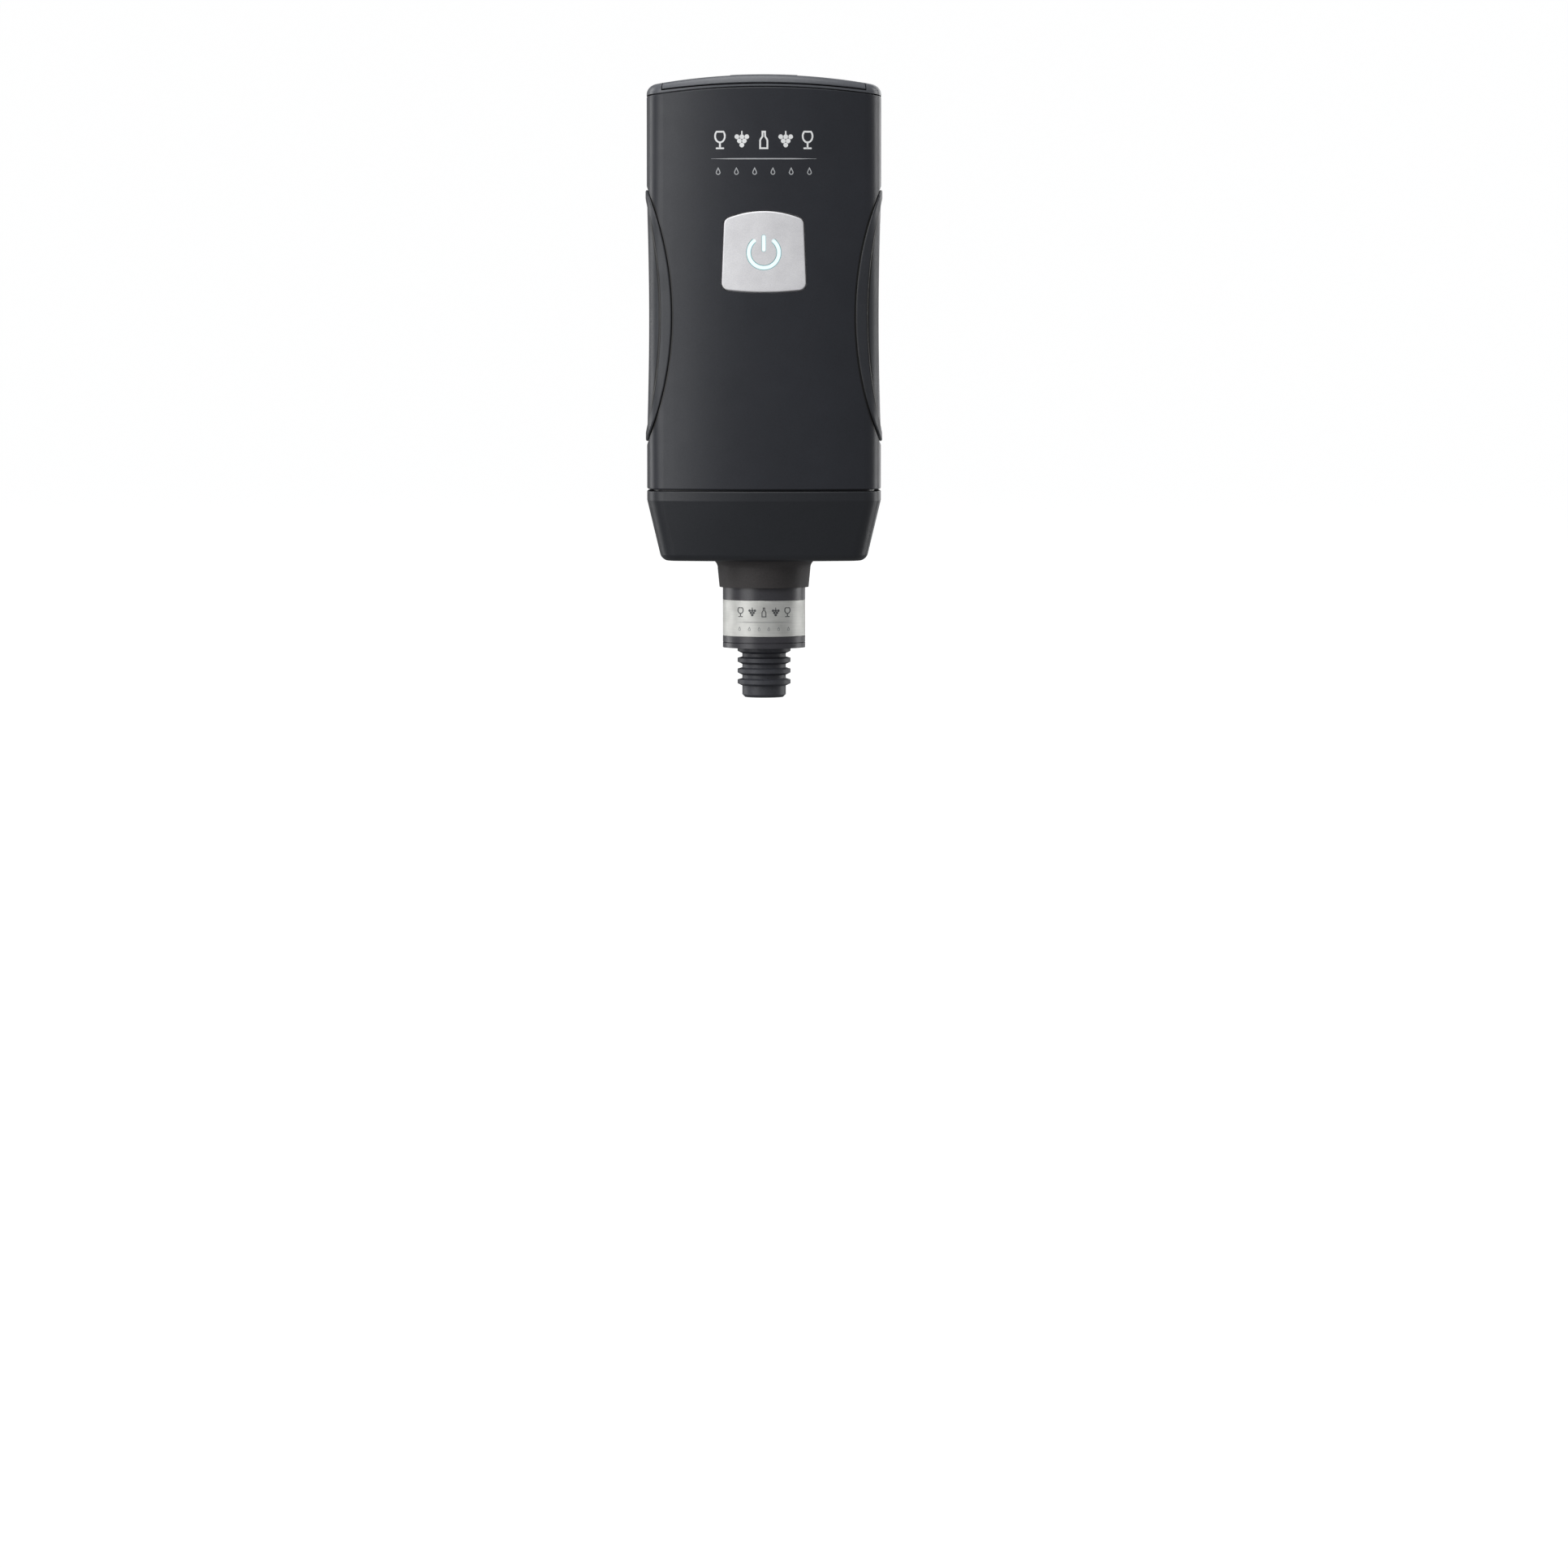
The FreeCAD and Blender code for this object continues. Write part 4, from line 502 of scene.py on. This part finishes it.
# %% [markdown]
# The parts on the board are black epoxy, apart from one capacitor at the lower left, which wears a blue
# sleeve. They are one piece with one material, so the shader tells them apart by where they are: a mask
# steps from 0 to 1 within a few hundredths of a millimetre. The lamps are cast in cream-white silicone.

# %% Board components and lamps
STEP_HALF = 0.02 * MM
CAPACITOR_RIGHT = -8.0 * MM
CAPACITOR_TOP = 135.0 * MM

epoxy, tree, shader, place = start_material("Epoxy_moulded_parts", Roughness=0.42)
axes = add(tree, "SeparateXYZ", {0: place})
grain = add(tree, "TexNoise", {"Vector": place, "Scale": per(0.4), "Detail": 2.0})
black = add(tree, "Mix", {0: grain.outputs["Fac"], 6: linear("#17171a"), 7: linear("#242428")},
            data_type="RGBA")
above = add(tree, "MapRange", {"Value": axes.outputs["Z"], "From Min": CAPACITOR_TOP - STEP_HALF,
                               "From Max": CAPACITOR_TOP + STEP_HALF})
beside = add(tree, "MapRange", {"Value": axes.outputs["X"], "From Min": CAPACITOR_RIGHT - STEP_HALF,
                                "From Max": CAPACITOR_RIGHT + STEP_HALF})
sleeve = add(tree, "Mix", {0: above.outputs[0], 6: linear("#1f3f7a"), 7: linear("#2c2c2f")},
             data_type="RGBA")
parts = add(tree, "Mix", {0: beside.outputs[0], 6: sleeve.outputs[2], 7: black.outputs[2]},
            data_type="RGBA")
pits = add(tree, "Bump", {"Height": grain.outputs["Fac"], "Strength": 0.5, "Distance": 0.01 * MM})
tree.links.new(parts.outputs[2], shader.inputs["Base Color"])
tree.links.new(pits.outputs[0], shader.inputs["Normal"])
dress(epoxy, "board_components")

lens = moulded("Silicone_cast_lamp", "#d9d2a8", "#f0ead0", 0.25, grain_mm=0.5, Subsurface_Weight=0.4)
dress(lens, "status_leds")

# %% [markdown]
# Each pair of wires has a red lead on the right and a black one on the left, in extruded PVC that handling
# has scuffed a little.

# %% Wires
jacket, tree, shader, place = start_material("PVC_extruded_jacket", Roughness=0.36)
axes = add(tree, "SeparateXYZ", {0: place})
side = add(tree, "MapRange", {"Value": axes.outputs["X"], "From Min": -STEP_HALF, "From Max": STEP_HALF})
scuff = add(tree, "TexNoise", {"Vector": place, "Scale": per(1.2), "Detail": 3.0})
red = add(tree, "Mix", {0: scuff.outputs["Fac"], 6: linear("#8f1512"), 7: linear("#a82420")},
          data_type="RGBA")
dark = add(tree, "Mix", {0: scuff.outputs["Fac"], 6: linear("#151517"), 7: linear("#232326")},
           data_type="RGBA")
pair = add(tree, "Mix", {0: side.outputs[0], 6: dark.outputs[2], 7: red.outputs[2]}, data_type="RGBA")
tree.links.new(pair.outputs[2], shader.inputs["Base Color"])
dress(jacket, "motor_wires", "battery_wires")

# %% [markdown]
# ## Cells
# Each AA cell wears a printed shrink sleeve: graphite, with a copper-coloured band at the nub's end. The
# sleeve is shrunk over the edge of both ends and leaves bare nickel in the middle. The shader centres
# itself on the cell, so the distance from its axis tells sleeve from metal, and the height tells the two
# prints apart.

# %% Cell sleeves
CELLS = 4
CELL_PITCH = 15.6 * MM
CELL_Y = -1.0 * MM
SLEEVE_R = 6.2 * MM
COPPER_BAND = 13.0 * MM
PRINT_STEP = 0.1 * MM
RIM_STEP = 0.05 * MM


def cell_material(index):
    """The sleeve of one cell. The first and third cells stand nub up, and the others nub down."""
    low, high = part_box("battery_cell_%d" % (index + 1))
    nub_up = index % 2 == 0
    material, tree, shader, place = start_material("Shrink_sleeve_cell_%d" % (index + 1), Coat_Weight=0.5,
                                                   Coat_Roughness=0.12)
    nub_z = high.z if nub_up else low.z
    shift = (-(index - (CELLS - 1) / 2) * CELL_PITCH, -CELL_Y, -nub_z)
    centred = add(tree, "Mapping", {"Vector": place, "Location": shift})
    axes = add(tree, "SeparateXYZ", {0: centred.outputs[0]})
    flat = add(tree, "CombineXYZ", {"X": axes.outputs["X"], "Y": axes.outputs["Y"]})
    radius = add(tree, "VectorMath", {0: flat.outputs[0]}, operation="LENGTH")
    far = add(tree, "Math", {0: axes.outputs["Z"]}, operation="ABSOLUTE")
    past_band = add(tree, "MapRange", {"Value": far.outputs[0], "From Min": COPPER_BAND - PRINT_STEP,
                                       "From Max": COPPER_BAND + PRINT_STEP})
    covered = add(tree, "MapRange", {"Value": radius.outputs["Value"], "From Min": SLEEVE_R - RIM_STEP,
                                     "From Max": SLEEVE_R + RIM_STEP})
    speck = add(tree, "TexNoise", {"Vector": place, "Scale": per(0.8), "Detail": 3.0})
    warm = add(tree, "Mix", {0: speck.outputs["Fac"], 6: linear("#a8673a"), 7: linear("#c08050")},
               data_type="RGBA")
    graphite = add(tree, "Mix", {0: speck.outputs["Fac"], 6: linear("#1d1f24"), 7: linear("#2a2c32")},
                   data_type="RGBA")
    sleeve = add(tree, "Mix", {0: past_band.outputs[0], 6: warm.outputs[2], 7: graphite.outputs[2]},
                 data_type="RGBA")
    whole = add(tree, "Mix", {0: covered.outputs[0], 6: linear("#c4c2bb"), 7: sleeve.outputs[2]},
                data_type="RGBA")
    metal = add(tree, "MapRange", {"Value": covered.outputs[0], "To Min": 1.0, "To Max": 0.35})
    gloss = add(tree, "MapRange", {"Value": speck.outputs["Fac"], "To Min": 0.22, "To Max": 0.38})
    tree.links.new(whole.outputs[2], shader.inputs["Base Color"])
    tree.links.new(metal.outputs[0], shader.inputs["Metallic"])
    tree.links.new(gloss.outputs[0], shader.inputs["Roughness"])
    return material


for index in range(CELLS):
    dress(cell_material(index), "battery_cell_%d" % (index + 1))

# %% [markdown]
# ## Modelling by hand
# The rest of the lesson adds pieces. Each starts as a primitive and is shaped in edit mode. These helpers
# select one object, pick faces or edges by where they are, and settle a finished piece: its place
# moves into its mesh, so that its object sits at the origin like the CAD nodes.


# %% Modelling helpers
def only(piece):
    """Select this piece alone, in object mode."""
    if bpy.context.mode != "OBJECT":
        bpy.ops.object.mode_set(mode="OBJECT")
    bpy.ops.object.select_all(action="DESELECT")
    piece.select_set(True)
    bpy.context.view_layer.objects.active = piece


def edit(piece, kind):
    """Enter edit mode with everything selected; kind is VERT, EDGE or FACE."""
    only(piece)
    bpy.ops.object.mode_set(mode="EDIT")
    bpy.ops.mesh.select_mode(type=kind)
    bpy.ops.mesh.select_all(action="SELECT")


def pick(piece, kind, wanted):
    """In edit mode, select only the verts, edges or faces that wanted(item) says yes to, and count them."""
    bpy.ops.mesh.select_all(action="DESELECT")
    mesh = bmesh.from_edit_mesh(piece.data)
    found = [item for item in getattr(mesh, kind) if wanted(item)]
    for item in found:
        item.select_set(True)
    bmesh.update_edit_mesh(piece.data)
    return len(found)


def outline(piece, stroke):
    """Turn a flat silhouette of one face into a line of this width along its edge."""
    edit(piece, "FACE")
    bpy.ops.mesh.inset(thickness=stroke, use_even_offset=True)
    bpy.ops.mesh.delete(type="FACE")
    bpy.ops.object.mode_set(mode="OBJECT")


def joined(name, pieces):
    """One mesh from several."""
    only(pieces[0])
    for piece in pieces:
        piece.select_set(True)
    bpy.ops.object.join()
    whole = bpy.context.object
    whole.name = name
    whole.data.name = name
    return whole


def settle(piece):
    """Move the piece's place, turn and size into its mesh."""
    only(piece)
    bpy.ops.object.transform_apply(location=True, rotation=True, scale=True)


def apply_all(piece):
    """Apply the modifiers in order."""
    only(piece)
    for modifier in list(piece.modifiers):
        bpy.ops.object.modifier_apply(modifier=modifier.name)


print("modelling starts with", len(bpy.data.meshes), "meshes")

# %% [markdown]
# ## Printed mark
# The casing carries a small silk-screened mark, and the steel band carries the same one in grey: a frieze
# of glasses, grapes and a bottle over a hairline, and a row of drops under it. It is drawn flat, in
# millimetres, from silhouettes. An inset followed by deleting the middle turns a silhouette into an
# even line, which is how a sign maker thinks of it too. Short strokes are bars with rounded ends.

# %% Strokes
LINE = 0.62
FINE_LINE = 0.32
ICON_HIGH = 6.5
NEAR = 0.01


def flat_bar(width, height, at):
    """A small filled bar with rounded corners."""
    bpy.ops.mesh.primitive_plane_add(size=1, location=(at[0], at[1], 0))
    bar = bpy.context.object
    bar.scale = (width, height, 1)
    settle(bar)
    edit(bar, "VERT")
    bpy.ops.mesh.bevel(offset=0.45 * min(width, height), segments=3, affect="VERTICES")
    bpy.ops.object.mode_set(mode="OBJECT")
    return bar


print("icons:", ICON_HIGH, "mm high, in lines of", LINE, "mm")

# %% [markdown]
# A glass is a bowl, a stem and a foot. The bowl starts as a circle, stretched upwards and cut off level at
# the rim. The cut leaves one silhouette with two sharp corners, and its outline is the bowl's line.


# %% Glasses
def wine_glass(x):
    """A bowl cut off at the rim, on a stem and foot."""
    bowl_radius, bowl_stretch, bowl_y = 2.05, 1.22, 4.6
    stem_long, stem_y, foot_wide = 2.2, 1.3, 3.0
    bpy.ops.mesh.primitive_circle_add(vertices=32, radius=bowl_radius, fill_type="NGON",
                                      location=(x, bowl_y, 0))
    rim = bpy.context.object
    rim.scale = (1, bowl_stretch, 1)
    settle(rim)
    edit(rim, "FACE")
    bpy.ops.mesh.bisect(plane_co=(0, ICON_HIGH, 0), plane_no=(0, 1, 0), clear_outer=True)
    bpy.ops.object.mode_set(mode="OBJECT")
    outline(rim, LINE)
    stem = flat_bar(LINE, stem_long, (x, stem_y))
    foot = flat_bar(foot_wide, LINE, (x, LINE / 2))
    return [rim, stem, foot]


ICON_PITCH = 7.8
glasses = wine_glass(-2 * ICON_PITCH) + wine_glass(2 * ICON_PITCH)
print("glasses:", len(glasses), "pieces")

# %% [markdown]
# The bottle grows upwards from one plane: its top edge is extruded and narrowed for the shoulders, then
# extruded straight for the neck. Vertex bevels round the shoulders' corners before the outline is made.


# %% Bottle
def wine_bottle(x):
    """A straight body, shoulders and a neck."""
    body_wide, body_high, shoulder_high, neck_share = 3.2, 3.4, 1.2, 0.48
    bpy.ops.mesh.primitive_plane_add(size=1, location=(x, body_high / 2, 0))
    silhouette = bpy.context.object
    silhouette.scale = (body_wide, body_high, 1)
    settle(silhouette)
    edit(silhouette, "EDGE")
    pick(silhouette, "edges", lambda e: all(v.co.y > body_high - NEAR for v in e.verts))
    bpy.ops.mesh.extrude_edges_move(TRANSFORM_OT_translate={"value": (0, shoulder_high, 0)})
    bpy.ops.transform.resize(value=(neck_share, 1, 1), center_override=(x, body_high + shoulder_high, 0))
    neck_high = ICON_HIGH - body_high - shoulder_high
    bpy.ops.mesh.extrude_edges_move(TRANSFORM_OT_translate={"value": (0, neck_high, 0)})
    bpy.ops.mesh.select_all(action="SELECT")
    bpy.ops.mesh.dissolve_faces()
    bpy.ops.mesh.select_mode(type="VERT")
    pick(silhouette, "verts", lambda v: abs(v.co.y - body_high) < NEAR)
    bpy.ops.mesh.bevel(offset=0.55, segments=4, affect="VERTICES")
    bpy.ops.object.mode_set(mode="OBJECT")
    outline(silhouette, LINE)
    return [silhouette]


bottle = wine_bottle(0.0)
print("bottle:", len(bottle[0].data.polygons), "faces")

# %% [markdown]
# A bunch of grapes is six filled circles in rows of three, two and one, packed a little closer than they
# are wide from row to row, under a short stalk.


# %% Grapes
def grapes(x):
    """Six round berries under a short stalk."""
    berry, across, down = 0.84, 2.1, 1.75
    stalk_long, top_row = 1.3, ICON_HIGH - 2.1
    pieces = [flat_bar(LINE * 0.8, stalk_long, (x, ICON_HIGH - stalk_long / 2))]
    for row, count in enumerate((3, 2, 1)):
        for step in range(count):
            at = (x + (step - (count - 1) / 2) * across * berry, top_row - row * down * berry, 0)
            bpy.ops.mesh.primitive_circle_add(vertices=20, radius=berry, fill_type="NGON", location=at)
            pieces.append(bpy.context.object)
            settle(pieces[-1])
    return pieces


bunches = grapes(-ICON_PITCH) + grapes(ICON_PITCH)
print("bunches:", len(bunches), "pieces")

# %% [markdown]
# A drop is a circle whose top point is pulled up. Proportional editing takes its neighbours along, which
# draws the shoulders of the drop into a tip.


# %% Drops
def drop(x):
    """A falling drop, as an outline."""
    radius, pull = 0.82, 1.1
    bpy.ops.mesh.primitive_circle_add(vertices=24, radius=radius, fill_type="NGON", location=(x, radius, 0))
    piece = bpy.context.object
    settle(piece)
    edit(piece, "VERT")
    pick(piece, "verts", lambda v: v.co.y > 2 * radius - NEAR)
    bpy.ops.transform.translate(value=(0, pull, 0), use_proportional_edit=True,
                                proportional_edit_falloff="SHARP", proportional_size=pull)
    bpy.ops.object.mode_set(mode="OBJECT")
    outline(piece, FINE_LINE)
    return piece


DROPS = 6
DROP_PITCH = 6.5
DROPS_Y = -9.1
drops = [drop((index - (DROPS - 1) / 2) * DROP_PITCH) for index in range(DROPS)]
drop_row = joined("mark_drops", drops)
drop_row.location.y = DROPS_Y
settle(drop_row)
icon_row = joined("mark_icons", glasses + bunches + bottle)
print("mark:", len(icon_row.data.vertices), "points in the icons,",
      len(drop_row.data.vertices), "in the drops")

# %% [markdown]
# The hairline thins out towards both ends. It is a long plane with many cuts, whose end points are squeezed
# together, and proportional editing spreads the squeeze inwards.

# %% Hairline
HAIRLINE_LONG = 37.5
HAIRLINE_WIDE = 0.40
HAIRLINE_Y = -3.4
END_SHARE = 0.2
TAPER_LONG = 9.0

bpy.ops.mesh.primitive_plane_add(size=1, location=(0, HAIRLINE_Y, 0))
hairline = bpy.context.object
hairline.name = "mark_hairline"
hairline.scale = (HAIRLINE_LONG, HAIRLINE_WIDE, 1)
settle(hairline)
edit(hairline, "EDGE")
pick(hairline, "edges", lambda e: abs(e.verts[0].co.y - e.verts[1].co.y) < NEAR)
bpy.ops.mesh.subdivide(number_cuts=23)
pick(hairline, "verts", lambda v: abs(v.co.x) > HAIRLINE_LONG / 2 - NEAR)
bpy.ops.transform.resize(value=(1, END_SHARE, 1), center_override=(0, HAIRLINE_Y, 0),
                         use_proportional_edit=True, proportional_edit_falloff="SMOOTH",
                         proportional_size=TAPER_LONG)
bpy.ops.object.mode_set(mode="OBJECT")
print("hairline:", len(hairline.data.vertices), "points")

# %% [markdown]
# A print lies on a curved wall. Each flat piece is cut into short faces, stood upright in front of the
# wall, and pushed straight back onto it by a Shrinkwrap modifier. Solidify then gives the ink its body: two
# hundredths of a millimetre on the real thing, and four here.

# %% Lay a flat drawing onto a wall
INK_THICK = 0.04
PRINT_EDGE = 1.4
WALL_FRONT = -60.0


def cut_short(piece, longest):
    """Halve the longer edges until all are short, so the piece can bend."""
    edit(piece, "FACE")
    bpy.ops.mesh.quads_convert_to_tris()
    bpy.ops.mesh.select_mode(type="EDGE")
    for _ in range(5):
        if pick(piece, "edges", lambda e: e.calc_length() > longest):
            bpy.ops.mesh.subdivide(number_cuts=1)
            bpy.ops.mesh.select_all(action="SELECT")
            bpy.ops.mesh.quads_convert_to_tris()
    bpy.ops.object.mode_set(mode="OBJECT")


def print_on(master, name, wall, scale, base_z, film):
    """Copy a flat drawing, stand it before the wall, push it on and thicken it."""
    only(master)
    bpy.ops.object.duplicate()
    piece = bpy.context.object
    piece.name = name
    piece.data.name = name
    cut_short(piece, PRINT_EDGE / scale)
    piece.rotation_euler = (math.radians(90), 0, 0)
    piece.scale = (scale * MM, scale * MM, scale * MM)
    piece.location = (0, WALL_FRONT * MM, base_z * MM)
    settle(piece)
    wrap = piece.modifiers.new("wrap", "SHRINKWRAP")
    wrap.target = nodes[wall]
    wrap.wrap_method = "PROJECT"
    wrap.use_project_y = True
    wrap.use_positive_direction = True
    wrap.use_negative_direction = False
    apply_all(piece)
    thick = piece.modifiers.new("ink", "SOLIDIFY")
    thick.thickness = INK_THICK * MM
    thick.offset = 0.0
    apply_all(piece)
    edit(piece, "FACE")
    bpy.ops.mesh.normals_make_consistent(inside=False)
    bpy.ops.object.mode_set(mode="OBJECT")
    piece.data.materials.clear()
    piece.data.materials.append(film)
    front = min(v.co.y for v in piece.data.vertices)
    print(name, "front at y %.2f mm," % (front / MM), len(piece.data.polygons), "faces")
    return piece


print("ink film:", INK_THICK, "mm thick, in faces up to", PRINT_EDGE, "mm long")

# %% [markdown]
# Screen ink is pressed through a fine mesh, which leaves a faint grain of dots in an even film, and wear
# makes it cloudy. On the casing the icons are white and the rest a paler grey, so that the small drops stay
# in the background. On steel the same mark is dark grey.


# %% Screen inks
def ink(name, dark, light, roughness):
    """Screen ink from dark to light, with the grain of its mesh."""
    material, tree, shader, place = start_material(name)
    mesh_grain = add(tree, "TexVoronoi", {"Vector": place, "Scale": per(0.18)})
    worn = add(tree, "TexNoise", {"Vector": place, "Scale": per(2.5), "Detail": 4.0})
    film = add(tree, "Math", {0: mesh_grain.outputs["Distance"], 1: 0.4, 2: worn.outputs["Fac"]},
               operation="MULTIPLY_ADD")
    tone = add(tree, "Mix", {0: film.outputs[0], 6: linear(dark), 7: linear(light)}, data_type="RGBA")
    gloss = add(tree, "MapRange", {"Value": worn.outputs["Fac"], "To Min": roughness - 0.05,
                                   "To Max": roughness + 0.05})
    tree.links.new(tone.outputs[2], shader.inputs["Base Color"])
    tree.links.new(gloss.outputs[0], shader.inputs["Roughness"])
    return material


white_ink = ink("Screen_ink_white", "#d8d9da", "#f2f3f3", 0.45)
pale_ink = ink("Screen_ink_pale_grey", "#9fa1a4", "#b9bbbd", 0.45)
dark_ink = ink("Screen_ink_dark_grey", "#3f4042", "#525355", 0.5)
soft_ink = ink("Screen_ink_soft_grey", "#77787a", "#8b8c8e", 0.5)
print("inks:", ", ".join(m.name for m in (white_ink, pale_ink, dark_ink, soft_ink)))

# %% [markdown]
# The mark is printed twice, once at full size above the button and once at about half size on the band. The
# casing's print moves with the pump and the band's with the stopper. The flat drawings are then thrown
# away, as a printer puts the screens aside.

# %% Print the casing and the band
CASING_MARK_Z = 178.6
BAND_MARK_Z = 11.35
BAND_SCALE = 0.54

for master, name, casing_ink, band_ink in ((icon_row, "icons", white_ink, dark_ink),
                                           (hairline, "hairline", pale_ink, soft_ink),
                                           (drop_row, "drops", pale_ink, soft_ink)):
    on_casing = print_on(master, "print_casing_" + name, "front_shell", 1.0, CASING_MARK_Z, casing_ink)
    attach(on_casing, "pump")
    on_band = print_on(master, "print_band_" + name, "stopper_band", BAND_SCALE, BAND_MARK_Z, band_ink)
    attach(on_band, "stopper")
    bpy.data.objects.remove(master)

# %% [markdown]
# ## Finishing touches on the lid
# Raised marks on the crown are dropped onto it by the same Shrinkwrap trick, looking down. They are thicker
# than ink, and a bevel softens their edges, as the tool's corners do in a moulding.

# %% Drop a flat drawing onto the crown
DROP_HEIGHT = 250 * MM


def drop_on(piece, name, ground, thickness):
    """Drop a flat drawing onto what lies under it, thicken it and soften its edges."""
    piece.name = name
    piece.data.name = name
    piece.scale = (MM, MM, MM)
    piece.location = (0, 0, DROP_HEIGHT)
    settle(piece)
    wrap = piece.modifiers.new("wrap", "SHRINKWRAP")
    wrap.target = nodes[ground]
    wrap.wrap_method = "PROJECT"
    wrap.use_project_z = True
    wrap.use_positive_direction = False
    wrap.use_negative_direction = True
    thick = piece.modifiers.new("body", "SOLIDIFY")
    thick.thickness = 2 * thickness * MM
    thick.offset = 0.0
    soften = piece.modifiers.new("soften", "BEVEL")
    soften.width = 0.6 * thickness * MM
    soften.segments = 2
    soften.limit_method = "ANGLE"
    apply_all(piece)
    edit(piece, "FACE")
    bpy.ops.mesh.normals_make_consistent(inside=False)
    bpy.ops.object.mode_set(mode="OBJECT")
    print(name, "top at z %.2f mm" % (max(v.co.z for v in piece.data.vertices) / MM))
    return piece


print("drawings drop from z", round(DROP_HEIGHT / MM), "mm")

# %% [markdown]
# A battery lid needs somewhere for a thumb. Three fine ribs are moulded across its front edge, and a small
# triangle behind them points the way it opens. Each rib is a bar with rounded corners, cut into short
# lengths so that it can follow the arched lid.

# %% Thumb ribs and arrow
RIB_LONG = 24.0
RIB_WIDE = 0.7
RIB_EDGE = 1.6
RIB_PROUD = 0.22
RIB_PLACES = (-21.0, -19.3, -17.6)
ARROW_Y = -12.4
ARROW_RADIUS = 1.9
ARROW_CORNER = 0.4

ribs = []
for y in RIB_PLACES:
    rib = flat_bar(RIB_LONG, RIB_WIDE, (0, y))
    cut_short(rib, RIB_EDGE)
    ribs.append(rib)
bpy.ops.mesh.primitive_circle_add(vertices=3, radius=ARROW_RADIUS, fill_type="NGON",
                                  location=(0, ARROW_Y, 0))
arrow = bpy.context.object
arrow.rotation_euler = (0, 0, math.radians(180))
settle(arrow)
edit(arrow, "VERT")
bpy.ops.mesh.bevel(offset=ARROW_CORNER, segments=3, affect="VERTICES")
bpy.ops.object.mode_set(mode="OBJECT")
lid_marks = drop_on(joined("lid_thumb_ribs", ribs + [arrow]), "lid_thumb_ribs", "battery_lid", RIB_PROUD)
lid_marks.data.materials.append(crown)
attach(lid_marks, "lid")

# %% [markdown]
# Under the lid, a plus or a minus stands in front of each cell, in pale grey, as a reminder of which way up
# it goes. A minus is one bar. A plus is a small square whose four edges are extruded outwards in turn and
# whose faces are then dissolved into one, so that its top is flat.

# %% Plus and minus signs
SIGN_SIZE = 3.0
SIGN_WIDE = 0.8
SIGN_Y = -12.9
SIGN_PROUD = 0.14


def plus(x):
    """A cross grown from its middle square."""
    half, arm = SIGN_WIDE / 2, (SIGN_SIZE - SIGN_WIDE) / 2
    bpy.ops.mesh.primitive_plane_add(size=SIGN_WIDE, location=(x, SIGN_Y, 0))
    cross = bpy.context.object
    settle(cross)
    middle = Vector((x, SIGN_Y, 0))
    for way in (Vector((1, 0, 0)), Vector((-1, 0, 0)), Vector((0, 1, 0)), Vector((0, -1, 0))):
        edit(cross, "EDGE")
        pick(cross, "edges", lambda e: all((v.co - middle).dot(way) > half - NEAR
                                           and max(abs(c) for c in v.co - middle) < half + NEAR
                                           for v in e.verts))
        bpy.ops.mesh.extrude_edges_move(TRANSFORM_OT_translate={"value": way * arm})
    bpy.ops.mesh.select_all(action="SELECT")
    bpy.ops.mesh.dissolve_faces()
    bpy.ops.object.mode_set(mode="OBJECT")
    return cross


signs = []
for index in range(CELLS):
    x = (index - (CELLS - 1) / 2) * CELL_PITCH / MM
    signs.append(plus(x) if index % 2 == 0 else flat_bar(SIGN_SIZE, SIGN_WIDE, (x, SIGN_Y)))
signs = drop_on(joined("cell_signs", signs), "cell_signs", "top_surround", SIGN_PROUD)
signs.data.materials.append(pale_ink)
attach(signs, "pump")
